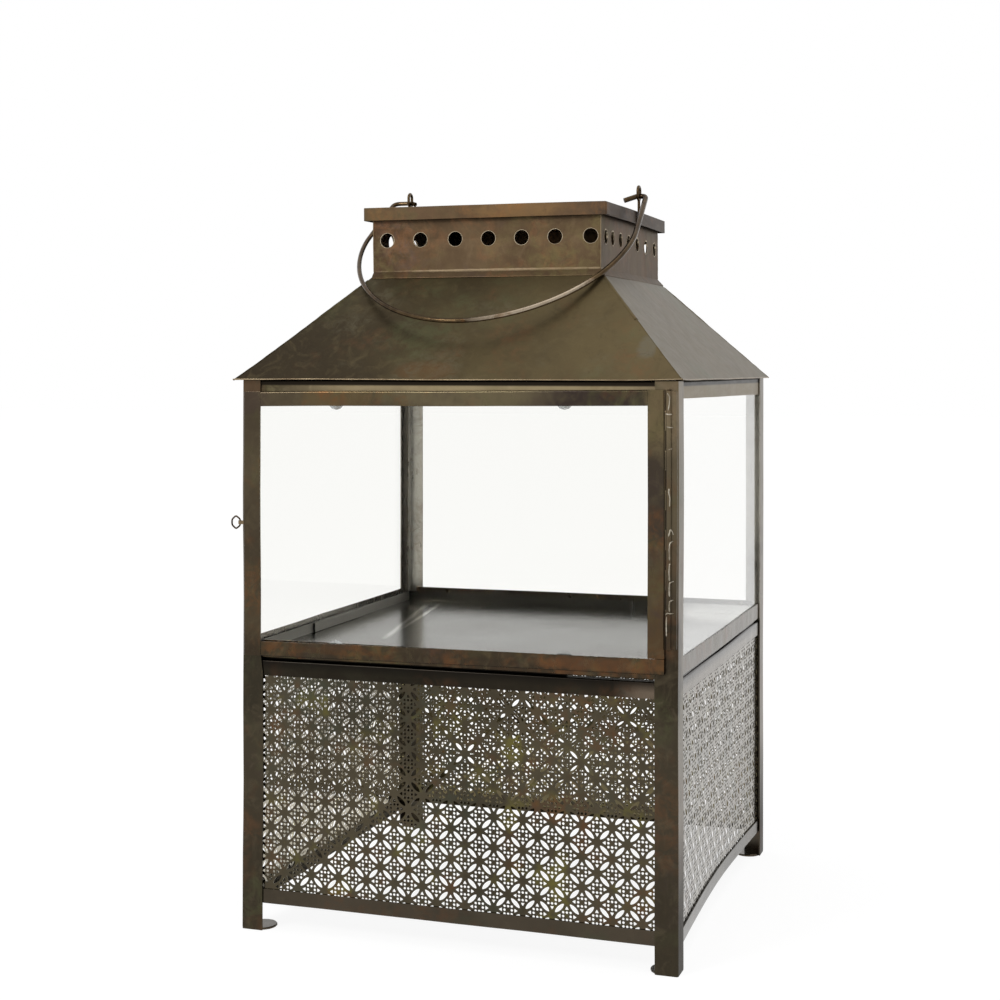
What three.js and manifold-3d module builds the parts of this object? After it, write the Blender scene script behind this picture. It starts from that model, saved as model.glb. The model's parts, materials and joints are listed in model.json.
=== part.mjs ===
// A tall square candle lantern of folded sheet metal, in millimetres, with +Z up and the floor at z = 0.
// The front faces -Y. The glazed door hangs on the front right post, and the wire bail lies forward
// on the roof. Four perforated panels close the lower half, and the chimney under the cap is vented.
import * as THREE from 'three';
import { mergeVertices } from 'three/addons/utils/BufferGeometryUtils.js';
import Module from 'manifold-3d';

const wasm = await Module();
wasm.setup();

// Clearances and cuts
const seatGap = 0.3; // between two pieces that are soldered, laid or clipped together
const runningGap = 0.6; // between pieces that turn past each other
const overrun = 1; // how far a cut runs past the wall that it opens

// Frame of four corner posts on round feet
const bodyWidth = 488; // square footprint over the posts
const postTop = 602;
const postFlange = 24.5;
const postSheet = 1.5;
const footDiameter = 36.5;
const footProud = 4; // past the outer faces of its post
const footThickness = 2.5;
const footRim = 0.6; // worn edge of the disc

// Folded rails between the posts
const railSheet = 1.2;
const foldRadius = 2;
const ledgeDepth = 14; // inward flange of each rail
const baseRailBottom = 29.5;
const baseRailHeight = 16;
const waistRailHeight = 17;
const waistSeam = 2.5; // open slot between the waist rail and the sill rail
const sillRailBottom = 298.5;
const sillRailHeight = 20;
const headRailHeight = 18;

// Perforated panels, with a coarse form of the lattice of petals
const grilleSheet = 0.8;
const grilleMargin = 12; // plain border behind the rails and posts
const petalColumns = 10;
const petalRows = 6;
const petalLengthShare = 0.67; // of the way from one crossing of the lattice to the next
const petalWidthShare = 0.24;

// Tray, glass and the strips that hold the glass
const traySheet = 1;
const trayDepth = 12.5;
const paneThickness = 2.5;
const glazingStripLength = 150;
const glazingStripHeight = 11;
const glazingStripThickness = 3;

// Hipped roof
const eaveOverhang = 5.5;
const eaveReturn = 19; // flat flange folded in under the eave
const roofSheet = 1;
const roofRise = 113.7; // from the eave up to the foot of the chimney
const roofFootMargin = 5.3; // how far the roof stands out past the chimney there
const roofLap = 4; // how far the roof sheets run up inside the chimney

// Vented chimney and its cap
const chimneyHalfWidth = 132.7;
const chimneySheet = 1;
const skirtLength = 9;
const chimneyRise = 80.6; // from the foot of the chimney up to the top of the cap
const ventDiameter = 17.2;
const ventCount = 7; // on each of the four sides
const ventMargin = 13.9; // from the outer vents to the chimney's corner
const ventDrop = 36.9; // from the top of the cap down to the vents
const capOverhang = 7.5;
const capRim = 14.8;
const capSheet = 1;

// Eyes and the wire bail
const eyeWire = 3.4;
const eyeRise = 30.4; // from the top of the cap to the top of the eye
const eyePlay = 1.4; // on each side of the bail's wire
const eyeHeight = 19;
const eyeShankInset = 2; // from the lower edge of the cap's rim up to the end of the shank
const bailWire = 4.6;
const bailEndReach = 15.1; // from each eye out to the leg of the bail
const bailBowSpread = 4.5; // how much wider the bow is than the legs
const bailBowDepth = 175;
const bailBowFullness = 0.88; // exponent of the bow's curve: 1 is a plain ellipse, less is squarer
const bailLegLength = 85;
const bailHookRadius = 6;
const bailTailRun = 0.8; // straight wire past the eye, before the tail turns down
const bailLeftTipLength = 5; // turned-down end of the tail
const bailLeftTipDroop = 3;
const bailRightTipLength = 13;
const bailRightTipDroop = 9;
const bailSlack = 6; // how far the bail sits to the left in its eyes

// Door frame of folded strips, laid over the front posts
const doorSheet = 1.2;
const doorGap = 0.6; // between the door and the front of the posts
const doorLatchInset = 3.5; // from the outer face of the left post
const doorHingeInset = 13.4; // from the outer face of the right post
const doorSillLap = 6.5; // from the foot of the sill rail up to the door
const doorHeadGap = 8.8; // from the top of the posts down to the door
const doorRailWidth = 16.2;
const latchStileWidth = 20.5;
const hingeStileWidth = 17.4;
const doorPaneThickness = 2;
const doorPaneLap = 8; // of the glass behind the strips
const clipWidth = 20;
const clipSheet = 0.8;
const clipShow = 4; // how far a clip shows past the inner edge of its rail
const clipSpread = 128; // from the door opening's middle to each clip

// Long hand-made hinge
const hingeFootGap = 26; // from the foot of the door up to the hinge
const hingeHeadGap = 1; // from the top of the door down to the hinge
const knuckleCount = 13;
const knuckleWall = 0.9;
const pinRadius = 1.3;
const pinPlay = 0.4;
const pinProud = 1.5;
const hingeLeafSheet = 0.8;
const postLeafWidth = 7;
const postLeafEdge = 1; // from the outer edge of the post's flange

// Wire latch on the door's free edge, and the stud that it drops over
const latchHeight = 446;
const latchWire = 1.9;
const latchKnuckleWall = 0.65;
const latchPlay = 0.4;
const latchKnuckleLength = 4;
const latchReach = 9.8;
const latchShoulderReach = 5;
const latchHalfHeight = 7.2;
const latchEndHalfHeight = 3;
const latchCornerRadius = 1.8;
const latchPostClearance = 0.45; // between the wire and the post's outer face when it is turned back
const studDistance = 6; // from the latch's pivot, back along the post
const studShankRadius = 1.2;
const studHeadRadius = 1.8;
const studHeadThickness = 0.8;
const studReach = 3.2;

// Facets of the round shapes
const foldSteps = 3;
const footSides = 20;
const ventSides = 14;
const knuckleSides = 12;
const wireSides = 8;
const bendSteps = 3;
const linkSides = 8;
const linkSegments = 12;
const petalSteps = 3;
const clipSteps = 6;
const bowSteps = 20;
const chordSamples = 8; // places tried along each straight piece of the bail
const restHalvings = 20;
const squareSides = 4;

// Places worked out from the sizes above
const half = bodyWidth / 2;
const railFace = half - postSheet - seatGap;
const railReach = railFace - ledgeDepth - seatGap;
const paneFace = railFace - railSheet - seatGap;
const paneReach = paneFace - paneThickness - seatGap;
const ledgeTop = sillRailBottom + railSheet;
const waistRailBottom = sillRailBottom - waistSeam - waistRailHeight;
const eaveBottom = postTop + seatGap;
const eaveHalf = half + eaveOverhang;
const roofSlope = roofRise / (eaveHalf - chimneyHalfWidth - roofFootMargin);
const slopeAngle = Math.atan(roofSlope);
const capTop = eaveBottom + roofRise + chimneyRise;
const capHalfWidth = chimneyHalfWidth + capOverhang;
const ventHeight = capTop - ventDrop;
const ventPitch = (2 * (chimneyHalfWidth - ventMargin)) / (ventCount - 1);
const doorLeft = -half + doorLatchInset;
const doorRight = half - doorHingeInset;
const doorBottom = sillRailBottom + doorSillLap;
const doorTop = postTop - doorHeadGap;
const doorDepth = doorSheet + seatGap + doorPaneThickness + seatGap + clipSheet;
const doorBack = -half - doorGap;
const doorFront = doorBack - doorDepth;
const openingLeft = doorLeft + latchStileWidth;
const openingRight = doorRight - hingeStileWidth;
const openingBottom = doorBottom + doorRailWidth;
const openingTop = doorTop - doorRailWidth;
const openingMiddle = (openingLeft + openingRight) / 2;
const doorPaneFront = doorFront + doorSheet + seatGap;
const doorPaneBack = doorPaneFront + doorPaneThickness;
const hingeBottom = doorBottom + hingeFootGap;
const hingeTop = doorTop - hingeHeadGap;
const knuckleBore = pinRadius + pinPlay;
const knuckleRadius = knuckleBore + knuckleWall;
const hingeX = doorRight + seatGap + hingeLeafSheet + runningGap + knuckleRadius;
const hingeY = doorFront + runningGap;
const knucklePitch = (hingeTop - hingeBottom) / knuckleCount;
const latchKnuckleBore = latchWire / 2 + latchPlay;
const latchKnuckleRadius = latchKnuckleBore + latchKnuckleWall;
const latchX = -half - latchPostClearance - latchWire / 2;
const latchY = doorFront + doorDepth / 2;
const eyeX = capHalfWidth + seatGap + eyeWire / 2;
const eyeTop = capTop + eyeRise;
const eyeWidth = bailWire + 2 * (eyePlay + eyeWire);
const linkZ = eyeTop - eyeHeight / 2;
const linkStraight = (eyeHeight - eyeWidth) / 2;
const linkHoleRadius = eyeWidth / 2 - eyeWire;
const bailEndHalfWidth = eyeX + bailEndReach;
const bailBowHalfWidth = bailEndHalfWidth + bailBowSpread;
const pivotZ = linkZ - linkStraight - (linkHoleRadius - bailWire / 2 - seatGap);

const cornerNames = ['front_left', 'front_right', 'rear_right', 'rear_left'];
const sideNames = ['front', 'right', 'rear', 'left'];

// Finishes, one new material for each piece
const finishes = {
  bronze: { color: 0x5b4f38, roughness: 0.48, metalness: 0.85 },
  paleBronze: { color: 0x6f5d40, roughness: 0.45, metalness: 0.85 },
  solder: { color: 0x6d675a, roughness: 0.5, metalness: 0.8 },
  wire: { color: 0x574d3c, roughness: 0.4, metalness: 0.9 },
  zinc: { color: 0x63625c, roughness: 0.3, metalness: 0.9 },
  glass: { color: 0xf2f5f2, roughness: 0.05, metalness: 0, transparent: true, opacity: 0.25 },
};

function piece(name, geometry, finish, parent) {
  const mesh = new THREE.Mesh(geometry, new THREE.MeshStandardMaterial(finishes[finish]));
  mesh.name = name;
  parent.add(mesh);
  return mesh;
}

// One copy of a geometry at each quarter turn about the upright axis
function quarterCopies(prefix, names, geometry, finish, parent) {
  names.forEach((name, turn) => {
    piece(`${prefix}_${name}`, geometry, finish, parent).rotation.z = (turn * Math.PI) / 2;
  });
}

// Closed mesh to solid and back, for cuts and joins
function toSolid(geometry) {
  const bare = geometry.clone();
  bare.deleteAttribute('normal');
  bare.deleteAttribute('uv');
  const merged = mergeVertices(bare);
  const index = merged.index.array;
  const corners = [];
  for (let start = 0; start < index.length; start += 3) {
    const [a, b, c] = index.slice(start, start + 3);
    if (a !== b && b !== c && c !== a) corners.push(a, b, c);
  }
  const vertProperties = new Float32Array(merged.attributes.position.array);
  const triVerts = new Uint32Array(corners);
  return new wasm.Manifold(new wasm.Mesh({ numProp: 3, vertProperties, triVerts }));
}

function toGeometry(solid) {
  const mesh = solid.getMesh();
  const geometry = new THREE.BufferGeometry();
  geometry.setAttribute('position', new THREE.BufferAttribute(mesh.vertProperties, 3));
  geometry.setIndex(new THREE.BufferAttribute(mesh.triVerts, 1));
  geometry.computeVertexNormals();
  return geometry;
}

function joined(geometries) {
  return toGeometry(geometries.map(toSolid).reduce((whole, part) => whole.add(part)));
}

// A block between two corners
function block(low, high) {
  const size = high.map((value, axis) => value - low[axis]);
  const centre = high.map((value, axis) => (value + low[axis]) / 2);
  return new THREE.BoxGeometry(...size).translate(...centre);
}

function outline(points) {
  return new THREE.Shape(points.map(([across, up]) => new THREE.Vector2(across, up)));
}

// A section in the XY plane, run from one height to another
function upright(section, bottom, top) {
  const options = { depth: top - bottom, bevelEnabled: false };
  return new THREE.ExtrudeGeometry(section, options).translate(0, 0, bottom);
}

// A section in the YZ plane, run along X
function lengthwise(section, start, end) {
  const geometry = new THREE.ExtrudeGeometry(section, { depth: end - start, bevelEnabled: false });
  const axes = [new THREE.Vector3(0, 1, 0), new THREE.Vector3(0, 0, 1), new THREE.Vector3(1, 0, 0)];
  return geometry.applyMatrix4(new THREE.Matrix4().makeBasis(...axes)).translate(start, 0, 0);
}

// A plate drawn in the XZ plane, as thick as from its front to its back
function facing(section, front, back) {
  const geometry = new THREE.ExtrudeGeometry(section, { depth: back - front, bevelEnabled: false });
  return geometry.rotateX(Math.PI / 2).translate(0, back, 0);
}

// An L section of folded sheet. Its outer corner is at (across, up), and each reach is signed.
function foldedAngle(across, up, acrossReach, upReach, sheet) {
  const arc = (radius) => {
    const points = [];
    for (let step = 0; step <= foldSteps; step++) {
      const angle = Math.PI + (step / foldSteps) * (Math.PI / 2);
      points.push([foldRadius + radius * Math.cos(angle), foldRadius + radius * Math.sin(angle)]);
    }
    return points;
  };
  const [wide, tall] = [Math.abs(acrossReach), Math.abs(upReach)];
  const turned = [
    ...arc(foldRadius), [wide, 0], [wide, sheet],
    ...arc(foldRadius - sheet).reverse(), [sheet, tall], [0, tall],
  ];
  const place = ([a, b]) => [across + Math.sign(acrossReach) * a, up + Math.sign(upReach) * b];
  return outline(turned.map(place));
}

// A square hollow turned from a profile of [half width, height], its outside drawn upwards
function squareTurned(profile) {
  const points = profile.map(([width, height]) => new THREE.Vector2(width * Math.SQRT2, height));
  return new THREE.LatheGeometry(points, squareSides, Math.PI / squareSides).rotateX(Math.PI / 2);
}

function roundTurned(profile, sides) {
  const points = profile.map(([radius, height]) => new THREE.Vector2(radius, height));
  return new THREE.LatheGeometry(points, sides).rotateX(Math.PI / 2);
}

// A strip along the front, mitred to meet its neighbours, from a section of [half width, height]
function mitredStrip(section) {
  const geometry = new THREE.ExtrudeGeometry(outline(section), { depth: 1, bevelEnabled: false });
  const position = geometry.attributes.position;
  for (let index = 0; index < position.count; index++) {
    const width = position.getX(index);
    const height = position.getY(index);
    const side = 1 - 2 * position.getZ(index);
    position.setXYZ(index, side * (width - seatGap), -width, height);
  }
  return geometry;
}

// Upright ring that a pin or a wire turns in
function ringSection(x, y, radius, bore) {
  const ring = new THREE.Shape().absarc(x, y, radius, 0, 2 * Math.PI);
  ring.holes.push(new THREE.Path().absarc(x, y, bore, 0, 2 * Math.PI, true));
  return ring;
}

function knuckle(x, y, radius, bore, bottom, top) {
  const options = { depth: top - bottom, bevelEnabled: false, curveSegments: knuckleSides / 2 };
  return new THREE.ExtrudeGeometry(ringSection(x, y, radius, bore), options).translate(0, 0, bottom);
}

// Round wire with one section at each point of its centre line
function wireThrough(points, diameter) {
  const curve = new THREE.CatmullRomCurve3(points);
  curve.getUtoTmapping = (share) => share;
  const section = new THREE.Shape().absarc(0, 0, diameter / 2, 0, 2 * Math.PI);
  const options = { steps: points.length - 1, extrudePath: curve, curveSegments: wireSides / 2 };
  return new THREE.ExtrudeGeometry(section, options);
}

// Straight runs between points in a plane, with every inner corner rounded
function bentLine(points, radius) {
  const corners = points.map(([across, out]) => new THREE.Vector2(across, out));
  const line = [corners[0]];
  for (let index = 1; index < corners.length - 1; index++) {
    const corner = corners[index];
    const before = corners[index - 1].clone().sub(corner).setLength(radius).add(corner);
    const after = corners[index + 1].clone().sub(corner).setLength(radius).add(corner);
    line.push(...new THREE.QuadraticBezierCurve(before, corner, after).getPoints(bendSteps));
  }
  line.push(corners[corners.length - 1]);
  return line.map((point) => [point.x, point.y]);
}

// Posts and feet
function post() {
  const section = foldedAngle(-half, -half, postFlange, postFlange, postSheet);
  return upright(section, footThickness + seatGap, postTop);
}

function foot() {
  const radius = footDiameter / 2;
  const profile = [
    [0, 0], [radius - footRim, 0], [radius, footRim],
    [radius, footThickness - footRim], [radius - footRim, footThickness], [0, footThickness],
  ];
  const centre = radius - half - footProud;
  return roundTurned(profile, footSides).translate(centre, centre, 0);
}

// Front rail with its ledge at the bottom or at the top
function rail(bottom, height, ledgeAtTop) {
  const corner = ledgeAtTop ? bottom + height : bottom;
  const reach = ledgeAtTop ? -height : height;
  return lengthwise(foldedAngle(-railFace, corner, ledgeDepth, reach, railSheet), -railReach, railReach);
}

// One pointed petal, along a diagonal of its cell
function petal(x, z, width, height, rising) {
  const angle = Math.atan2(rising ? height : -height, width);
  const diagonal = Math.hypot(width, height);
  const path = new THREE.Path();
  for (let step = 0; step < 2 * petalSteps; step++) {
    const turn = (step / petalSteps) * Math.PI;
    const along = (-petalLengthShare * diagonal * Math.cos(turn)) / 2;
    const aside = (petalWidthShare * diagonal * Math.sin(turn)) / 2;
    const cos = Math.cos(angle);
    const sin = Math.sin(angle);
    const point = [x + along * cos - aside * sin, z + along * sin + aside * cos];
    if (step === 0) path.moveTo(...point);
    else path.lineTo(...point);
  }
  path.closePath();
  return path;
}

function grille() {
  const bottom = baseRailBottom + railSheet + seatGap;
  const top = waistRailBottom + waistRailHeight - railSheet - seatGap;
  const sheet = outline([[-railReach, bottom], [railReach, bottom], [railReach, top], [-railReach, top]]);
  const cellWidth = (2 * (railReach - grilleMargin)) / petalColumns;
  const cellHeight = (top - bottom - 2 * grilleMargin) / petalRows;
  for (let column = 0; column < petalColumns; column++) {
    for (let row = 0; row < petalRows; row++) {
      const x = -railReach + grilleMargin + (column + 0.5) * cellWidth;
      const z = bottom + grilleMargin + (row + 0.5) * cellHeight;
      sheet.holes.push(petal(x, z, cellWidth, cellHeight, (column + row) % 2 === 0));
    }
  }
  return facing(sheet, -paneFace, -paneFace + grilleSheet);
}

// Tray that lies on the sill rails, inside the glass
function tray() {
  const bottom = ledgeTop + seatGap;
  const top = bottom + trayDepth;
  const inner = paneReach - traySheet;
  return squareTurned([
    [0, bottom], [paneReach, bottom], [paneReach, top],
    [inner, top], [inner, bottom + traySheet], [0, bottom + traySheet],
  ]);
}

function fixedPane() {
  const bottom = ledgeTop + seatGap;
  const top = postTop - railSheet - seatGap;
  return block([-paneReach, -paneFace, bottom], [paneReach, -paneFace + paneThickness, top]);
}

// Strip that keeps the tray's edge against the glass in the middle of each fixed side
function glazingStrip() {
  const face = paneReach - traySheet - seatGap;
  const bottom = ledgeTop + seatGap + traySheet + seatGap;
  const low = [-glazingStripLength / 2, -face, bottom];
  return block(low, [glazingStripLength / 2, -face + glazingStripThickness, bottom + glazingStripHeight]);
}

// Roof surface: height over a half width, and the share of it that a sheet takes up sideways
function roofHeightAt(width) {
  return eaveBottom + (eaveHalf - width) * roofSlope;
}

function roofSideways(thickness) {
  return thickness / Math.sin(slopeAngle);
}

function roofSheetStrip() {
  const topHalf = chimneyHalfWidth - chimneySheet - roofLap;
  const inner = roofSideways(roofSheet);
  const returnTop = eaveBottom + roofSheet;
  return mitredStrip([
    [eaveHalf, eaveBottom],
    [topHalf, roofHeightAt(topHalf)],
    [topHalf - inner, roofHeightAt(topHalf)],
    [eaveHalf - roofSheet / roofSlope - inner, returnTop],
    [eaveHalf - eaveReturn, returnTop],
    [eaveHalf - eaveReturn, eaveBottom],
  ]);
}

// Square chimney whose skirt lies on the roof, with a row of vent holes through each side
function chimney() {
  const top = capTop - capSheet - seatGap;
  const innerHalf = chimneyHalfWidth - chimneySheet;
  const creaseIn = [innerHalf, roofHeightAt(innerHalf - roofSideways(seatGap))];
  const creaseOut = [
    chimneyHalfWidth,
    roofHeightAt(chimneyHalfWidth - roofSideways(seatGap + chimneySheet)),
  ];
  const tipIn = [
    creaseIn[0] + skirtLength * Math.cos(slopeAngle),
    creaseIn[1] - skirtLength * Math.sin(slopeAngle),
  ];
  const tipOut = [
    tipIn[0] + chimneySheet * Math.sin(slopeAngle),
    tipIn[1] + chimneySheet * Math.cos(slopeAngle),
  ];
  const profile = [tipOut, creaseOut, [chimneyHalfWidth, top], [innerHalf, top], creaseIn, tipIn, tipOut];
  let solid = toSolid(squareTurned(profile));
  const drillLength = 2 * (chimneyHalfWidth + overrun);
  const drill = new THREE.CylinderGeometry(ventDiameter / 2, ventDiameter / 2, drillLength, ventSides);
  for (let hole = 0; hole < ventCount; hole++) {
    const along = (hole - (ventCount - 1) / 2) * ventPitch;
    solid = solid.subtract(toSolid(drill.clone().translate(along, 0, ventHeight)));
    solid = solid.subtract(toSolid(drill.clone().rotateZ(Math.PI / 2).translate(0, along, ventHeight)));
  }
  return toGeometry(solid);
}

function cap() {
  const ceiling = capTop - capSheet;
  const inner = capHalfWidth - capSheet;
  return squareTurned([
    [0, ceiling], [inner, ceiling], [inner, capTop - capRim],
    [capHalfWidth, capTop - capRim], [capHalfWidth, capTop], [0, capTop],
  ]);
}

// Oval link of wire on a shank, standing in the YZ plane on the outer face of the cap's rim
function eye() {
  const bend = (eyeWidth - eyeWire) / 2;
  const link = new THREE.TorusGeometry(bend, eyeWire / 2, linkSides, linkSegments);
  link.rotateZ(Math.PI / linkSegments);
  const position = link.attributes.position;
  for (let index = 0; index < position.count; index++) {
    const height = position.getY(index);
    position.setY(index, height + Math.sign(height) * linkStraight);
  }
  link.rotateX(Math.PI / 2).rotateZ(Math.PI / 2).translate(0, 0, linkZ);
  const shankBottom = capTop - capRim + eyeShankInset;
  const shankLength = eyeTop - eyeHeight + eyeWire / 2 - shankBottom;
  const shank = new THREE.CylinderGeometry(eyeWire / 2, eyeWire / 2, shankLength, linkSides);
  shank.rotateX(Math.PI / 2).translate(0, 0, shankBottom + shankLength / 2);
  return joined([link, shank]);
}

// One end of the bail: its tail, the hook through the eye and half of the leg
function bailEnd(reach, tipLength, tipDroop) {
  const tailEnd = bailEndHalfWidth - reach - eyeWire / 2 - bailTailRun;
  const hook = [[tailEnd, 0], [bailEndHalfWidth, 0], [bailEndHalfWidth, bailLegLength]];
  const line = bentLine(hook, bailHookRadius);
  const legMiddle = (bailEndHalfWidth + bailBowHalfWidth) / 2;
  line.splice(-1, 1, [legMiddle, bailLegLength / 2]);
  return [[tailEnd - tipLength, tipDroop], ...line];
}

// Centre line of the bail in its own plane: across, and out from the pivot
function bailOutline() {
  const right = bailEnd(bailEndReach - bailSlack, bailRightTipLength, bailRightTipDroop);
  const left = bailEnd(bailEndReach + bailSlack, bailLeftTipLength, bailLeftTipDroop);
  const bow = [];
  for (let step = 0; step <= bowSteps; step++) {
    const angle = (step / bowSteps) * Math.PI;
    const across = Math.sign(Math.cos(angle)) * Math.abs(Math.cos(angle)) ** bailBowFullness;
    const out = Math.abs(Math.sin(angle)) ** bailBowFullness;
    bow.push([bailBowHalfWidth * across, bailLegLength + bailBowDepth * out]);
  }
  return [...right, ...bow, ...left.map(([across, out]) => [-across, out]).reverse()];
}

function bailPoints(angle) {
  return bailOutline().map(([across, out]) => {
    const back = -out * Math.cos(angle);
    const down = -out * Math.sin(angle);
    return new THREE.Vector3(across - bailSlack, back, pivotZ + down);
  });
}

// Least clearance between the bail's wire and the roof or the skirt, at an angle below level
function bailClearance(angle) {
  const skirtReach = chimneyHalfWidth + skirtLength * Math.cos(slopeAngle) + bailWire;
  const points = bailPoints(angle);
  let least = Infinity;
  for (let place = 0; place < (points.length - 1) * chordSamples; place++) {
    const start = Math.floor(place / chordSamples);
    const share = (place % chordSamples) / chordSamples;
    const point = points[start].clone().lerp(points[start + 1], share);
    const width = Math.max(Math.abs(point.x), Math.abs(point.y));
    const above = (point.z - roofHeightAt(width)) * Math.cos(slopeAngle);
    const skirt = width < skirtReach ? chimneySheet + seatGap : 0;
    least = Math.min(least, above - skirt - bailWire / 2);
  }
  return least;
}

// The bail drops until its wire lies on the hips of the roof
function bailRestAngle() {
  let [clear, low] = [0, Math.PI / 2];
  for (let halving = 0; halving < restHalvings; halving++) {
    const middle = (clear + low) / 2;
    if (bailClearance(middle) > seatGap) clear = middle;
    else low = middle;
  }
  return clear;
}

// Door strips: the long latch stile, the bottom rail that runs on under the hinge stile, and the rest
function latchStile() {
  const section = foldedAngle(doorLeft, doorFront, latchStileWidth, doorDepth, doorSheet);
  return upright(section, doorBottom, doorTop);
}

function hingeStile() {
  const section = foldedAngle(doorRight, doorFront, -hingeStileWidth, doorDepth, doorSheet);
  return upright(section, openingBottom + seatGap, doorTop);
}

function doorRail(edge, inward, end) {
  const section = foldedAngle(doorFront, edge, doorDepth, inward, doorSheet);
  return lengthwise(section, openingLeft + seatGap, end);
}

function doorPane() {
  const low = [openingLeft - doorPaneLap, doorPaneFront, openingBottom - doorPaneLap];
  return block(low, [openingRight + doorPaneLap, doorPaneBack, openingTop + doorPaneLap]);
}

// Half-round tongue behind the glass, with a foot on the back of the rail. Inward is -1 at the top rail.
function doorClip(x, edge, inward) {
  const lipEnd = edge + inward * clipShow;
  const foot = edge - inward * (doorPaneLap + seatGap);
  const footEnd = foot - inward * clipSheet;
  const radius = clipWidth / 2;
  const points = [[-radius, footEnd], [radius, footEnd]];
  for (let step = 0; step <= clipSteps; step++) {
    const angle = (step / clipSteps) * Math.PI;
    const shoulder = lipEnd - inward * radius * (1 - Math.sin(angle));
    points.push([radius * Math.cos(angle), shoulder]);
  }
  const front = doorPaneBack + seatGap;
  const tongue = facing(outline(points), front, front + clipSheet);
  const heights = [foot, footEnd].sort((a, b) => a - b);
  const low = [-radius, doorFront + doorSheet + seatGap, heights[0]];
  const riser = block(low, [radius, front + clipSheet, heights[1]]);
  return joined([tongue, riser]).translate(x, 0, 0);
}

// Hinge leaves: a plate with every second knuckle, and the pin through all of them
function knuckles(first) {
  const rings = [];
  for (let place = first; place < knuckleCount; place += 2) {
    const bottom = hingeBottom + place * knucklePitch + runningGap / 2;
    rings.push([bottom, bottom + knucklePitch - runningGap]);
  }
  return rings;
}

function postLeaf() {
  const right = half - postLeafEdge;
  const back = -half - seatGap;
  const front = back - hingeLeafSheet;
  const parts = [block([right - postLeafWidth, front, hingeBottom], [right, back, hingeTop])];
  for (const [bottom, top] of knuckles(0)) {
    parts.push(knuckle(hingeX, hingeY, knuckleRadius, knuckleBore, bottom, top));
    const inner = hingeX + (knuckleBore + knuckleRadius) / 2;
    const outer = Math.max(hingeX + knuckleRadius, right - postLeafWidth + hingeLeafSheet);
    parts.push(block([inner, hingeY, bottom], [outer, back, top]));
  }
  return joined(parts);
}

function doorLeaf() {
  const left = doorRight + seatGap;
  const right = left + hingeLeafSheet;
  const parts = [block([left, doorFront, hingeBottom], [right, doorBack, hingeTop])];
  for (const [bottom, top] of knuckles(1)) {
    parts.push(knuckle(hingeX, hingeY, knuckleRadius, knuckleBore, bottom, top));
    const inner = hingeX - (knuckleBore + knuckleRadius) / 2;
    const low = [left, hingeY - hingeLeafSheet / 2, bottom];
    parts.push(block(low, [inner, hingeY + hingeLeafSheet / 2, top]));
  }
  return joined(parts);
}

function hingePin() {
  const length = hingeTop - hingeBottom + 2 * pinProud;
  const pin = new THREE.CylinderGeometry(pinRadius, pinRadius, length, knuckleSides).rotateX(Math.PI / 2);
  return pin.translate(hingeX, hingeY, (hingeTop + hingeBottom) / 2);
}

// Latch: an eye on the door's edge, a fan of wire that turns in it, and a stud on the post
function latchKnuckle() {
  const bottom = latchHeight - latchKnuckleLength / 2;
  const top = latchHeight + latchKnuckleLength / 2;
  const ring = knuckle(latchX, latchY, latchKnuckleRadius, latchKnuckleBore, bottom, top);
  const inner = latchX + (latchKnuckleBore + latchKnuckleRadius) / 2;
  const low = [inner, latchY - latchKnuckleBore / 2, bottom];
  return joined([ring, block(low, [doorLeft - seatGap, latchY + latchKnuckleBore / 2, top])]);
}

function latchLoop() {
  const pivotHalf = latchKnuckleLength / 2 + runningGap + latchWire / 2;
  const lower = [
    [0, -seatGap], [0, -pivotHalf],
    [latchShoulderReach, -latchHalfHeight], [latchReach, -latchEndHalfHeight],
  ];
  const upper = lower.map(([out, up]) => [out, -up]).reverse();
  const line = bentLine([...lower, ...upper], latchCornerRadius);
  const points = line.map(([out, up]) => new THREE.Vector3(latchX - out, latchY, latchHeight + up));
  return wireThrough(points, latchWire);
}

function latchStud() {
  const face = seatGap;
  const profile = [
    [0, face], [studShankRadius, face], [studShankRadius, studReach - studHeadThickness],
    [studHeadRadius, studReach - studHeadThickness], [studHeadRadius, studReach], [0, studReach],
  ];
  const stud = roundTurned(profile, knuckleSides).rotateY(-Math.PI / 2);
  return stud.translate(-half, latchY + studDistance, latchHeight);
}

// The lantern
const lantern = new THREE.Group();
const body = new THREE.Group();
const door = new THREE.Group();
lantern.add(body, door);

quarterCopies('post', cornerNames, post(), 'bronze', body);
quarterCopies('foot', cornerNames, foot(), 'bronze', body);
quarterCopies('base_rail', sideNames, rail(baseRailBottom, baseRailHeight, false), 'bronze', body);
quarterCopies('grille', sideNames, grille(), 'bronze', body);
quarterCopies('waist_rail', sideNames, rail(waistRailBottom, waistRailHeight, true), 'bronze', body);
quarterCopies('sill_rail', sideNames, rail(sillRailBottom, sillRailHeight, false), 'bronze', body);
quarterCopies('head_rail', sideNames, rail(postTop - headRailHeight, headRailHeight, true), 'bronze', body);
quarterCopies('roof', sideNames, roofSheetStrip(), 'bronze', body);
piece('tray', tray(), 'zinc', body);
const fixedSides = [...sideNames.keys()].slice(1);
for (const turn of fixedSides) {
  const angle = (turn * Math.PI) / 2;
  piece(`pane_${sideNames[turn]}`, fixedPane(), 'glass', body).rotation.z = angle;
  piece(`glazing_strip_${sideNames[turn]}`, glazingStrip(), 'zinc', body).rotation.z = angle;
}
piece('chimney', chimney(), 'paleBronze', body);
piece('cap', cap(), 'paleBronze', body);
for (const [name, side] of [['left', -1], ['right', 1]]) {
  piece(`eye_${name}`, eye(), 'wire', body).position.x = side * eyeX;
}
piece('bail', wireThrough(bailPoints(bailRestAngle()), bailWire), 'wire', lantern);

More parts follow.
